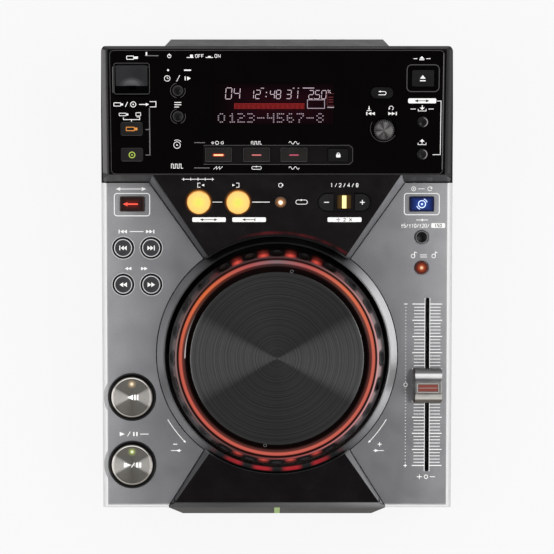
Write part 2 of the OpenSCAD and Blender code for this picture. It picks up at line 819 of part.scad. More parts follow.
module usb_lid() {
    color("#2c2b2c") on_head() {
        difference() {
            union() {
                translate([well_mid[0], lid_axis_v - lid_l / 2 + 0.3, 0])
                    block([lid_w, lid_l + 0.6], 0.5, -lid_t - 0.1, -0.1);
                rod_x(hinge_r, well_mid[0] - lid_w / 2 + 0.8, well_mid[0] + lid_w / 2 - 0.8,
                    lid_axis_v, lid_axis_n);
            }
            translate([well_mid[0], lid_axis_v - lid_l - lid_scoop_reach, lid_scoop_r - lid_scoop_d])
                sphere(r = lid_scoop_r);
        }
        rod_x(hinge_pin_r, usb_well[0][0] - 0.8, usb_well[1][0] + 0.8, lid_axis_v, lid_axis_n);
    }
}

module display_module() {
    size = display_box[1] - display_box[0];
    mid = (display_box[0] + display_box[1]) / 2;
    color("#160608") on_head(mid[0], mid[1], 0) {
        block(size, 1, head_board_n + 0.05, -0.15);
        for (x = [-30, 0, 30]) translate([x, -size[1] / 2 - 1.3, 0])
            block([5, 2.4], 0.4, head_board_n + 0.05, -panel_t - 1);
    }
}

module base_pan() {
    d = rear_y - pan_front;
    mid_y = (rear_y + pan_front) / 2;
    color(black) difference() {
        union() {
            difference() {
                translate([0, mid_y, 0]) block([2 * pan_w, d], 5, foot_h, split_z - 0.1);
                translate([0, mid_y + 3, 0])
                    block([2 * (pan_w - pan_wall), d - 2 * pan_wall + 6], 3, floor_z, split_z + 5);
                translate([0, rear_y, floor_z + 25]) cube([2 * (pan_w - pan_wall), 10, 50], center = true);
                translate([-frame_nose_w - seam, pan_front - 1, nose_foot_z - 0.15])
                    cube([2 * (frame_nose_w + seam), pan_wall + 2, 30]);
            }
            for (p = concat(case_boss, frame_boss))
                translate([p[0], p[1], 0]) disc(boss_r + 1, foot_h + 1, boss_z - 0.1);
            for (s = [-1, 1], y = [drive_front + 8, drive_rear - 8])
                translate([s * (drive_w - 6), y, 0]) ring(screw_r + 0.1, 4, floor_z - 1, drive_z);
            for (p = main_posts) translate([p[0], p[1], 0])
                ring(screw_r - 0.4, 3, floor_z - 1, main_z);
            for (p = supply_posts) translate([p[0], p[1], 0])
                ring(screw_r - 0.4, 3, floor_z - 1, supply_z);
        }
        for (p = concat(case_boss, frame_boss)) translate([p[0], p[1], 0]) {
            disc(screw_r + 0.2, 0, boss_z + 5);
            disc(screw_head_r + 0.3, 0, foot_h + 2);
        }
        for (p = foot_places) translate([p[0], p[1], 0]) disc(2.5, 0, floor_z + 1);
        for (x = [-50 : 10 : 50]) translate([x, 85, 0]) block([2.6, 40], 1.2, 0, floor_z + 1);
    }
}

foot_x = case_w / 2 - 22.95;
foot_places = [
    for (s = [-1, 1]) [s * foot_x, front_y + 23.6], for (s = [-1, 1]) [s * (foot_x - 2), rear_y - 26.8]];
main_z = foot_h + 14;
supply_z = foot_h + 8;
board_mid = rear_y - 59.8;                 // middle of the main board
supply_x = -case_w / 2 + 39.95;            // middle of the supply board
supply_mid = rear_y - 62.8;
main_posts = [for (x = [-28, 60], y = [-34, 34]) [x, board_mid + y]];
supply_posts = [for (x = [-23, 23], y = [-30, 30]) [supply_x + x, supply_mid + y]];

module feet() {
    color("#111111") for (p = foot_places) translate([p[0], p[1], 0]) difference() {
        union() {
            rotate_extrude() polygon([
                [0, 0], [foot_r - 0.8, 0], [foot_r, 0.8], [foot_r, foot_h - 0.05], [0, foot_h - 0.05]]);
            disc(2.4, foot_h - 0.1, floor_z + 0.2);
            disc(3.2, floor_z + 0.1, floor_z + 1.4);
        }
        disc(3.5, -1, 1.2);
    }
}

// Rear wall with the sockets' holes and the sloping bar above it
module rear_cover() {
    w = pan_w - pan_wall - 0.2;
    top = head_base_z - wall - 0.2;
    color(black) difference() {
        union() {
            translate([-w, rear_y - 2.2, floor_z + 0.05]) cube([2 * w, 2.2, top - floor_z]);
            translate([-frame_top_w + 0.5, rear_y - 2.2, top - 1])
                cube([2 * frame_top_w - 1, 2.2, head_base_z - 0.1 - top + 1]);
            intersection() {
                side_slab(bar_w0, [
                    [rear_y - 0.5, 60], [rear_y + 0.1, 60], [rear_y + bar_reach, 69], [rear_y + bar_reach, 75],
                    [rear_y + 0.1, 99.5], [rear_y + 0.1, top], [rear_y - 0.5, top]]);
                linear_extrude(200) polygon([
                    [-bar_w0, rear_y - 2], [bar_w0, rear_y - 2], [bar_w0, rear_y],
                    [bar_w1, rear_y + bar_reach], [-bar_w1, rear_y + bar_reach], [-bar_w0, rear_y]]);
            }
        }
        for (x = rca_x) rod_y(5.2, x, rear_y - 10, rear_y + 5, rca_z);
        rod_y(3.7, control_x, rear_y - 10, rear_y + 5, rca_z);
        translate([usbb_x, rear_y, rca_z]) cube([12.4, 30, 11.4], center = true);
        translate([inlet_x, rear_y, rca_z + 4]) cube([24.4, 30, 14.4], center = true);
        translate([switch_x, rear_y, switch_z]) cube([12.5, 30, 8.5], center = true);
        for (x = [20 : 6 : 62]) translate([x, rear_y, 48]) cube([2.6, 30, 18], center = true);
    }
}

module sockets() {
    inner_y = rear_y - 2.4;
    color("#c9cacc") {
        for (i = [0, 1]) difference() {
            union() {
                rod_y(rca_r, rca_x[i], rear_y - 12, rear_y + socket_reach, rca_z);
                rod_y(5, rca_x[i], rear_y - 2, rear_y + 2.4, rca_z);
                translate([rca_x[i], inner_y - 6, rca_z]) cube([12, 12, 12], center = true);
            }
            rod_y(1.7, rca_x[i], rear_y - 6, rear_y + 20, rca_z);
        }
        difference() {
            union() {
                rod_y(3.5, control_x, rear_y - 6, rear_y + 1.6, rca_z);
                translate([control_x, inner_y - 6, rca_z]) cube([10, 12, 10], center = true);
            }
            rod_y(1.8, control_x, rear_y - 10, rear_y + 5, rca_z);
        }
        difference() {
            translate([usbb_x, rear_y - 7, rca_z]) cube([12, 15, 11], center = true);
            translate([usbb_x, rear_y, rca_z]) cube([8.6, 20, 7.9], center = true);
        }
        translate([usbb_x, rear_y - 8.5, rca_z - 0.9]) cube([5.6, 9, 3], center = true);
        difference() {
            translate([inlet_x, rear_y - 8, rca_z + 4]) cube([24, 17.4, 14], center = true);
            translate([inlet_x, rear_y, rca_z + 4]) rotate([90, 0, 0])
                block([14.4, 8], 3.9, -10, 12);
        }
        for (s = [-1, 1]) rod_y(1.2, inlet_x + s * 4.3, rear_y - 14, rear_y - 2, rca_z + 4);
        // USB port below the lid of the display unit
        on_head(well_mid[0], well_mid[1] - 1, 0) difference() {
            block(usb_port, 0.3, -usb_depth - 12, -usb_depth - 0.05);
            block(usb_port - [0.7, 0.7], 0.2, -usb_depth - 11, 0);
        }
    }
}

module power_switch() {
    color("#202020") {
        translate([switch_x, rear_y - 2, switch_z]) rotate([90, 0, 0]) block([12, 8], 1, -5.4, 8);
        translate([switch_x, rear_y - 5.5, switch_z]) cube([15, 2.2, 11], center = true);
    }
}

module jog_bearing() {
    color(steel) on_deck() difference() {
        union() {
            disc(30, well_n - well_t - 2.2, well_n - well_t - 0.02);
            disc(9, well_n - well_t - 8, 7.5);
        }
        disc(shaft_r + fit, -60, 60);
        for (a = [45 : 90 : 315]) rotate(a) translate([26, 0, 0]) disc(screw_r - 0.3, -30, 0);
    }
}

module jog_spindle() {
    foot_n = well_n - well_t - 10.4;
    color(steel) on_deck() {
        difference() {
            union() {
                disc(shaft_r, foot_n, jog_h - 7);
                disc(15, jog_h - 7.4, jog_h - 5);
            }
            ring(shaft_r - 0.8, shaft_r + 2, foot_n + 1, foot_n + 2.2);
        }
        ring(shaft_r - 0.75, shaft_r + 3, foot_n + 1.1, foot_n + 2.1);
        difference() {
            ring(shaft_r, 31, jog_h - 10.2, jog_h - 9.6);
            for (a = [0 : 6 : 354]) rotate(a) translate([28.2, 0, jog_h - 10])
                cube([3, 1.2, 3], center = true);
        }
        ring(shaft_r, 12, jog_h - 9.6, jog_h - 7.4);
    }
}

// Finger dial: outer ring with dimples, shoulder below the lit ring, web to the spindle
module jog_dial() {
    web = jog_h - 2.4;
    lip = ring_out + 0.2;
    color("#2b2526") on_deck() difference() {
        rotate_extrude() polygon([
            [3.2, web - 2.4], [ring_in - 2.6, web - 2.4], [ring_in - 2.6, web - 7.6],
            [dial_r - 2.2, 1.5], [dial_r, 1.5], [dial_r, jog_h - 8], [lip + 2.6, jog_h - 1.6],
            [lip + 1.6, jog_h - 0.7], [lip + 0.5, jog_h - 0.7], [lip, jog_h - 1.4],
            [lip, web - 5], [ring_in - 0.3, web - 5], [ring_in - 0.3, web], [3.2, web]]);
        for (i = [0 : dimple_count - 1]) rotate(i * 360 / dimple_count)
            translate([dial_r + 5.6, 0, jog_h + 0.2]) sphere(r = 9.6);
        for (a = [0 : 120 : 240]) rotate(a) translate([11, 0, 0]) disc(1.2, 0, 60);
    }
}

module jog_light_ring() {
    web = jog_h - 2.4;
    color("#e0583f") on_deck() rotate_extrude() polygon([
        [ring_in, web - 4.95], [ring_out, web - 4.95], [ring_out, jog_h - 1.5],
        [ring_out - 2.1, jog_h - 1.5], [ring_in, jog_h - 0.9]]);
}

module jog_disc() {
    r = ring_in - 0.5;
    color("#3a3b3d") on_deck() rotate_extrude() polygon([
        [0, jog_h - 2.35], [r, jog_h - 2.35], [r, jog_h - 0.4], [r - 0.3, jog_h - 0.1],
        [r - 0.6, jog_h - 0.1], [r - 0.6, jog_h - 0.9], [r - 2.6, jog_h - 0.9],
        [r - 2.6, jog_h - 0.1], [r - 3.1, jog_h], [0, jog_h]]);
}

// Slide potentiometer's channel under the deck, with two guide rods
fader_len = 2 * fader_travel + 24;
fader_half = 7.5;
fader_deep = 15;
module fader_frame() {
    top = -wall - 0.1;
    color(steel) on_deck(fader_x, fader_v, 0) {
        difference() {
            translate([0, 0, top - fader_deep / 2])
                cube([2 * fader_half, fader_len, fader_deep], center = true);
            translate([0, 0, top - fader_deep / 2])
                cube([2 * fader_half - 2.4, fader_len - 6, fader_deep - 2.4], center = true);
            block([fader_slot + 0.6, 2 * fader_travel + 8.4], fader_slot / 2, top - 3, top + 3);
            for (s = [-1, 1]) rod_y(rod_r + 0.02, s * 4, -fader_len, fader_len, top - fader_deep / 2);
        }
        for (s = [-1, 1])
            rod_y(rod_r, s * 4, -fader_len / 2 + 0.5, fader_len / 2 - 0.5, top - fader_deep / 2);
    }
}

module fader_carriage() {
    mid = -wall - 0.1 - fader_deep / 2;
    color("#d8d8d8") on_deck(fader_x, fader_v, 0) difference() {
        union() {
            translate([0, 0, mid]) cube([11.4, 12, 6.4], center = true);
            translate([0, 0, (mid + knob_h - 6) / 2]) cube([1.2, 4, knob_h - 6 - mid], center = true);
        }
        for (s = [-1, 1]) rod_y(rod_r + fit, s * 4, -10, 10, mid);
    }
}

module fader_knob() {
    color("#4a4a4c") on_deck(fader_x, fader_v, 0) difference() {
        hull() {
            block([knob_w, knob_l], 1.5, 0.8, 2.6, $fn = 32);
            block([knob_w - 0.8, knob_l - 0.6], 1.5, 2.6, knob_h / 2, $fn = 32);
            block([knob_w - 3.6, knob_ridge], 1.2, knob_h - 1, knob_h, $fn = 32);
        }
        for (s = [-1, 1])
            rod_x(knob_scoop_r, -knob_w, knob_w, s * (knob_ridge / 2 + knob_scoop_r), knob_h + 0.5);
        translate([0, 0, knob_h / 2 - 5]) cube([1.3, 4.1, knob_h], center = true);
        difference() {
            block([knob_w - 4, knob_l - 6], 1, 0, 4);
            block([6, 9], 1, -1, 5);
        }
    }
}

// Boards: left, direction, transport, right, ramp, display unit, jog lights, main
module circuit_boards() {
    color(board_green) {
        on_deck() {
            board([38, 39], [for (x = search_x, v = [track_v, search_v]) [x, v]],
                search_mid - 0.5, 55.2, deck_board_n);
            board([28, 17], [[-mode_x, mode_v]], -mode_x - 0.3, 93, deck_board_n);
            board([25, 62], [[transport_x, cue_v], [transport_x, play_v]],
                transport_x - 1.1, -47.8, deck_board_n);
            board([24, 54], [for (v = [mode_v, range_v, tempo_v]) [mode_x, v]], mode_x, 73, deck_board_n);
            ring(40, 64, well_n, well_n + board_t);
            for (a = [0 : 30 : 330]) rotate(a) translate([58, 0, well_n + board_t + 0.5])
                cube([2, 3, 1], center = true);
            encoder_sensor();
        }
        on_ramp() board([112, 16], [for (x = concat(loop_x, beat_x, [reloop_x])) [x, ramp_v]],
            0, -15, deck_board_n);
        on_head() difference() {
            board([188, 62], concat(
                [for (v = [usb_v, disc_v]) [source_x, v]],
                [for (v = [time_v, text_v]) [mode_button_x, v]],
                [for (x = effect_x) [x, effect_v]],
                [[hold_x, effect_v], back_pos, [side_x, memory_v], [side_x, call_v], eject_pos]),
                0, 37.5, head_board_n);
            translate([well_mid[0], well_mid[1] + 10, 0]) block([24, 50], 1, -30, 0);
            translate([select_pos[0], select_pos[1], 0]) disc(3, -30, 0);
        }
        on_head(select_pos[0], select_pos[1], 0)
            ring(2.4 + fit, 6, head_board_n, head_board_n + 3.2);
        translate([16, board_mid, 0]) block([100, 80], 2, main_z, main_z + board_t);
        for (p = [[0, -19, 22], [32, -17, 16], [0, 11, 12], [40, 19, 10]])
            translate([p[0], board_mid + p[1], main_z + board_t + 1])
                cube([p[2], p[2], 2], center = true);
    }
}

// Light gate that reads the slotted disc on the jog spindle
module encoder_sensor() {
    translate([27, -4, well_n]) {
        cube([14, 8, board_t]);
        difference() {
            cube([9.5, 8, jog_h - 7.6 - well_n]);
            translate([-1, -1, jog_h - 11.2 - well_n]) cube([7, 10, 2.4]);
        }
    }
}

module power_supply() {
    color("#b9a24a") {
        translate([supply_x, supply_mid, 0]) {
            block([58, 72], 2, supply_z, supply_z + board_t);
            translate([-7, 2, supply_z + board_t]) cube([30, 26, 22]);
            translate([-18, 10, 0]) disc(6, supply_z + board_t, supply_z + board_t + 18);
            translate([11, -14, 0]) disc(8, supply_z + board_t, supply_z + board_t + 24);
            translate([-17, -26, supply_z + board_t]) cube([3, 26, 20]);
        }
    }
}

// Chassis, cover plate with the clamping puck, and the pickup's guide rods
module drive_frame() {
    len = drive_rear - drive_front;
    mid_y = (drive_rear + drive_front) / 2;
    color(steel) {
        difference() {
            translate([0, mid_y, (drive_z + drive_top) / 2])
                cube([2 * (drive_w + drive_t), len, drive_top - drive_z], center = true);
            translate([0, mid_y, (drive_z + drive_top) / 2 + drive_t])
                cube([2 * drive_w, len - 2 * drive_t, drive_top - drive_z], center = true);
            translate([0, drive_front, slot_z + 5])
                cube([2 * (slot_w + 1), 10, slot_h + 11], center = true);
            translate([0, disc_y, 0]) disc(motor_r - 4, 0, 60);
            rod_x(spindle_r + fit, -100, 100, roller_y, roller_z);
            for (s = [-1, 1], y = [drive_front + 8, drive_rear - 8])
                translate([s * (drive_w - 6), y, 0]) disc(screw_r + 0.2, 0, 25);
        }
        difference() {
            translate([0, mid_y, drive_top + drive_t / 2 + 0.02])
                cube([2 * (drive_w + drive_t), len, drive_t], center = true);
            translate([0, disc_y, 0]) disc(9, 0, 90);
        }
        translate([0, disc_y, 0]) rotate_extrude() polygon([
            [0, slot_hi + 0.5], [14, slot_hi + 0.5], [14, drive_top - 0.3], [8.6, drive_top - 0.3],
            [8.6, drive_top + drive_t + 0.3], [12, drive_top + drive_t + 0.3],
            [12, drive_top + drive_t + 1.1], [0, drive_top + drive_t + 1.1]]);
        for (s = [-1, 1]) {
            rod_y(rod_r, s * rod_x, disc_y - 9, drive_rear - 5, rod_z);
            for (y = [disc_y - 8, drive_rear - 6]) translate([s * rod_x, y, 0]) rod_block();
        }
    }
}

module rod_block() {
    difference() {
        translate([0, 0, (rod_z + 3 + drive_z + drive_t) / 2])
            cube([8, 4, rod_z + 3 - drive_z - drive_t], center = true);
        rod_y(rod_r + 0.02, 0, -5, 5, rod_z);
    }
}

module spindle_motor() {
    color("#77797c") translate([0, disc_y, 0]) difference() {
        union() {
            disc(motor_r, drive_z + drive_t, motor_top);
            disc(motor_r - 4.2, drive_z - 1, drive_z + drive_t + 1);
        }
        disc(spindle_r + fit, drive_z + 2, motor_top + 1);
    }
}

module turntable() {
    top = slot_lo - 0.5;
    color("#2a2a2c") translate([0, disc_y, 0]) {
        disc(spindle_r, drive_z + 4, top - 3);
        disc(turntable_r, top - 3, top - 1.2);
        disc(7.3, top - 3, top);
    }
}

module pickup() {
    color("#3b3f45") translate([0, pickup_y, 0]) difference() {
        union() {
            translate([0, 0, rod_z + 1]) cube([pickup_w, pickup_l, 8], center = true);
            translate([0, -2, 0]) disc(4.4, rod_z + 4, rod_z + 6.6);
            translate([0, -2, 0]) disc(2.2, rod_z + 6, rod_z + 7.4);
        }
        for (s = [-1, 1]) rod_y(rod_r + fit, s * rod_x, -20, 20, rod_z);
    }
}

module loading_roller() {
    color("#1c1c1c") {
        rod_x(roller_r, -slot_w + 6, slot_w - 6, roller_y, roller_z);
        rod_x(spindle_r, -drive_w - drive_t - 1, drive_w + drive_t + 1, roller_y, roller_z);
    }
}

// Screws: six case screws, four frame screws, four drive screws, four bearing screws
module screw(x, y, z_head, length) {
    translate([x, y, 0]) {
        difference() {
            disc(screw_head_r, z_head, z_head + 1.6);
            for (a = [0, 90]) rotate(a) translate([0, 0, z_head]) cube([3.4, 0.7, 1.4], center = true);
        }
        disc(screw_r, z_head + 1.5, z_head + length);
    }
}

module screws() {
    color("#55585c") {
        for (p = concat(case_boss, frame_boss)) screw(p[0], p[1], foot_h + 0.4, 16);
        for (s = [-1, 1], y = [drive_front + 8, drive_rear - 8])
            translate([0, 0, 2 * drive_z + 2 * drive_t]) mirror([0, 0, 1])
                screw(s * (drive_w - 6), y, drive_z - 0.2, 7);
        on_deck() for (a = [45 : 90 : 315]) rotate(a) translate([26, 0, 0]) {
            disc(2.4, well_n + 0.02, well_n + 1.4);
            disc(screw_r - 0.4, well_n - 6, well_n + 0.5);
        }
    }
}

module transport_button() {
    rise = 2.2;
    under = -wall - 1.2 - flange_gap;
    rotate_extrude() polygon([
        [0, under - flange_t], [transport_r + 1.4, under - flange_t], [transport_r + 1.4, under],
        [transport_r, under], [transport_r, rise - 0.6], [transport_r - 0.6, rise],
        [transport_r - 1.2, rise], [transport_r - 1.5, rise - 0.35], [0, rise - 0.15]]);
    disc(3, stem_end(deck_board_n, big_travel), under - flange_t / 2);
}

module deck_round(r, x, v, rise, dish) {
    on_deck(x, v, 0) round_button(r, rise, wall, deck_board_n, travel, dish);
}

module head_square(size, x, v, rise = 0.9, r = 0.6) {
    on_head(x, v, 0) square_button(size, rise, panel_t, head_board_n, travel, r);
}

module select_shaft() {
    color(steel) on_head(select_pos[0], select_pos[1], 0) {
        disc(2.4, -15.2, 4.6);
        ring(2.3, 3.9, -4.6, -3.4);
    }
}

module select_knob() {
    color("#3a3839") on_head(select_pos[0], select_pos[1], 0) difference() {
        union() {
            disc(select_r, travel + 0.5, select_h - 0.8);
            rotate_extrude() polygon([
                [0, select_h - 0.9], [select_r, select_h - 0.9], [select_r - 0.9, select_h],
                [select_r - 1.6, select_h], [0, select_h - 0.5]]);
        }
        disc(2.4 + fit, -1, 4.8);
        for (i = [0 : 27]) rotate(i * 360 / 28) translate([select_r + 0.15, 0, 0])
            disc(0.4, -1, select_h - 1.2);
    }
}

base_pan();
feet();
left_panel();
right_panel();
center_frame();
center_plates();
led_lenses();
head_case();
display_panel();
rear_cover();
jog_bearing();
button_rings();
fader_frame();
circuit_boards();
power_supply();
display_module();
drive_frame();
spindle_motor();
sockets();
screws();
jog_dial();
jog_light_ring();
jog_disc();
jog_spindle();
fader_carriage();
fader_knob();
color("#9a948c") on_deck(transport_x, cue_v, 0) transport_button();  // cue_button
color("#9a948c") on_deck(transport_x, play_v, 0) transport_button();  // play_button
color("#7a1d10") on_deck(-mode_x, mode_v, 0)  // direction_button
        square_button(mode_size, 1.6, wall, deck_board_n, travel);
color("#123a9a") on_deck(mode_x, mode_v, 0)  // jog_mode_button
        square_button(mode_size, 1.6, wall, deck_board_n, travel);
color(black) deck_round(range_r, mode_x, range_v, 1.4, 0.4);  // tempo_range_button
color("#5c1d12") deck_round(range_r, mode_x, tempo_v, 1.4, 0);  // master_tempo_button
color("#77787b") deck_round(search_r, search_x[0], track_v, 1.5, 0.3);  // track_back_button
color("#77787b") deck_round(search_r, search_x[1], track_v, 1.5, 0.3);  // track_forward_button
color("#77787b") deck_round(search_r, search_x[0], search_v, 1.5, 0.3);  // search_back_button
color("#77787b") deck_round(search_r, search_x[1], search_v, 1.5, 0.3);  // search_forward_button
color("#f2a626") on_ramp(loop_x[0], ramp_v, 0)  // loop_in_button
        round_button(loop_r, 2, frame_t, deck_board_n, travel, 0.6);
color("#f2a626") on_ramp(loop_x[1], ramp_v, 0)  // loop_out_button
        round_button(loop_r, 2, frame_t, deck_board_n, travel, 0.6);
color("#2a1c14") on_ramp(reloop_x, ramp_v, 0)  // reloop_button
        round_button(reloop_r, 1.5, frame_t, deck_board_n, travel, 0);
beat_button(0);  // beat_minus_button
beat_button(1);  // beat_plus_button
color("#252222") head_square(source_size, source_x, usb_v);  // usb_source_button
color("#252222") head_square(source_size, source_x, disc_v);  // disc_source_button
color(black) on_head(mode_button_x, time_v, 0)  // time_mode_button
        round_button(mode_button_r, 0.8, panel_t, head_board_n, travel, 0.3);
color(black) on_head(mode_button_x, text_v, 0)  // text_mode_button
        round_button(mode_button_r, 0.8, panel_t, head_board_n, travel, 0.3);
color("#2b2828") head_square(effect_size, effect_x[0], effect_v);  // effect_button_1
color("#2b2828") head_square(effect_size, effect_x[1], effect_v);  // effect_button_2
color("#2b2828") head_square(effect_size, effect_x[2], effect_v);  // effect_button_3
color("#2b2828") head_square(hold_size, hold_x, effect_v);  // hold_button
color("#2b2828") head_square(back_size, back_pos[0], back_pos[1], 0.9, back_size[1] / 2 - 0.1);  // back_button
color("#242122") on_head(side_x, memory_v, 0)  // memory_button
        round_button(side_r, 1.4, panel_t, head_board_n, travel, 0.3);
color("#242122") on_head(side_x, call_v, 0)  // call_button
        round_button(side_r, 1.4, panel_t, head_board_n, travel, 0.3);
color("#2b2828") head_square(eject_size, eject_pos[0], eject_pos[1], 0.4);  // eject_button
select_shaft();
select_knob();
usb_lid();
power_switch();
turntable();
pickup();
loading_roller();
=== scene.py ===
"""Finishes, lit parts, printed marks, light and camera of a tabletop disc player for DJ use."""

import math

import bmesh
import bpy
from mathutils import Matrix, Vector


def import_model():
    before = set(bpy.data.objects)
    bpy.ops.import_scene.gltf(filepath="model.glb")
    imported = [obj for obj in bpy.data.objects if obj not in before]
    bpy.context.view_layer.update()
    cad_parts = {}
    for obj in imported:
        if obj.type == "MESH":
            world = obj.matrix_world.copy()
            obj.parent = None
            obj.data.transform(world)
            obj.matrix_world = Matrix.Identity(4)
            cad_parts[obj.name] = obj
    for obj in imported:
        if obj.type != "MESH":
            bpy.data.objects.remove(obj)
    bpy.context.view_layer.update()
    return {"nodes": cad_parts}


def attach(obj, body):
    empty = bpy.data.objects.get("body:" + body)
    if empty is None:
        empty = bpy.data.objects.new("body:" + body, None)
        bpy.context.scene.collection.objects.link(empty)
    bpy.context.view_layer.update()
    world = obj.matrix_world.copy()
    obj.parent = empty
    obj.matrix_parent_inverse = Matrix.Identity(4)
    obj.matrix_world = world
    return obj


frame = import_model()
NODES = frame["nodes"]
MM = 0.001


# ---- planes of the case, in mm ------------------------------------------------------
class Plane:
    """A tilted plane of the case: x to the right, v up the slope, n out of it."""

    def __init__(self, y, z, tilt):
        self.y, self.z, self.tilt = y, z, math.radians(tilt)
        self.c, self.s = math.cos(self.tilt), math.sin(self.tilt)

    def at(self, x, v, n=0.0):
        return Vector((x, self.y + v * self.c - n * self.s,
                       self.z + v * self.s + n * self.c)) * MM


DECK = Plane(-49.7, 64.4, 4.5)
RAMP = Plane(61.0, 88.19, 14.0)
HEAD = Plane(61.1, 88.99, 12.26)

# edges of the case and radii of the jog wheel's parts, from the middle outwards, in mm
SIDE_X, FRONT_V, REAR_V, HEAD_X, HEAD_V = 109.0, -93.8, 106.8, 107.0, 76.2
DISC_R, GROOVE_R, RING_IN, RING_OUT = 53.25, 54.3, 56.3, 60.4
CREST_R, TAB_R, SPOT_R = 62.1, 63.6, 64.4
WELL_R, BEZEL_LIT_R, BEZEL_R, RED_GLOW_R = 69.3, 71.2, 75.2, 76.6
DIMPLES, DIMPLE_R, DIMPLE_N, DIMPLE_SIZE = 24.0, 72.1, 22.2, 9.6

# places of the controls on their planes, in mm
DIRECTION, JOG_MODE = (-89.7, 93.8), (89.7, 93.8)
TEMPO_RANGE, TEMPO_LAMP = (89.7, 73.3), (89.7, 54.3)
TRACK_V, SEARCH_V = 66.6, 43.8
BACK_X, FORWARD_X = -95.4, -78.0
SEARCH = [(x, v) for x in (BACK_X, FORWARD_X) for v in (TRACK_V, SEARCH_V)]
CUE, PLAY = (-90.4, -26.6), (-90.4, -69.1)
RAMP_ROW = -16.9
LOOP_IN_X, LOOP_OUT_X, RELOOP_X, BEAT_X = -48.0, -23.9, 2.2, 41.3
MODES = [(-60.2, 51.9), (-60.2, 36.1)]
RECALLS = [(88.8, 32.7), (88.8, 12.9)]
SOURCES_V = (28.4, 12.5)
EFFECTS_X = (-35.7, -12.5, 10.4)
SELECT, LID_SCOOP, GLASS = (65.0, 28.6), (-88.1, 51.0), (2.0, 43.0)
TILE, GLASS_SIZE = (14.8, 9.0), (72.0, 26.0)
KNOB_FRONT_V, KNOB_REAR_V = -29.6, -8.2
SCALE_TOP, SCALE_ZERO, SCALE_END, SCALE_PARTS, SCALE_DOT_X = 31.6, -18.9, -69.7, 50, 80.1
FADER_SLOT_X, FADER_SLOT_V = (91.95, 95.05), (-73.3, 35.3)
CURVE_R, CURVE_FROM, CURVE_TO = 79.4, (68.2, -40.7), (57.8, -54.9)


# ---- procedural finishes ------------------------------------------------------------
def rgba(color, k=1.0):
    """Linear light of a screen colour such as "#ffd696", k times as bright"""
    def linear(c):
        return c / 12.92 if c <= 0.04045 else ((c + 0.055) / 1.055) ** 2.4
    levels = (int(color[i:i + 2], 16) / 255.0 for i in (1, 3, 5))
    return (*(min(1.0, linear(level) * k) for level in levels), 1.0)


def feed(tree, socket, value):
    """Link or set a socket. A string is a screen colour."""
    if isinstance(value, bpy.types.NodeSocket):
        tree.links.new(value, socket)
    else:
        socket.default_value = rgba(value) if isinstance(value, str) else value


def add_node(tree, kind, inputs, **settings):
    """Outputs of a new node, with its inputs fed by name or number"""
    node = tree.nodes.new("ShaderNode" + kind)
    for key, value in settings.items():
        setattr(node, key, value)
    for key, value in inputs.items():
        feed(tree, node.inputs[key], value)
    return node.outputs


def add_ramp(tree, fac, stops):
    """Stops are (place, level) or (place, colour). Places go first, as they sort themselves."""
    node = tree.nodes.new("ShaderNodeValToRGB")
    elements = node.color_ramp.elements
    while len(elements) < len(stops):
        elements.new(0.5)
    for element, (place, _) in zip(elements, stops):
        element.position = place
    for element, (_, value) in zip(elements, stops):
        if isinstance(value, float):
            value = (value, value, value, 1.0)
        element.color = rgba(value) if isinstance(value, str) else value
    tree.links.new(fac, node.inputs["Fac"])
    return node.outputs["Color"]


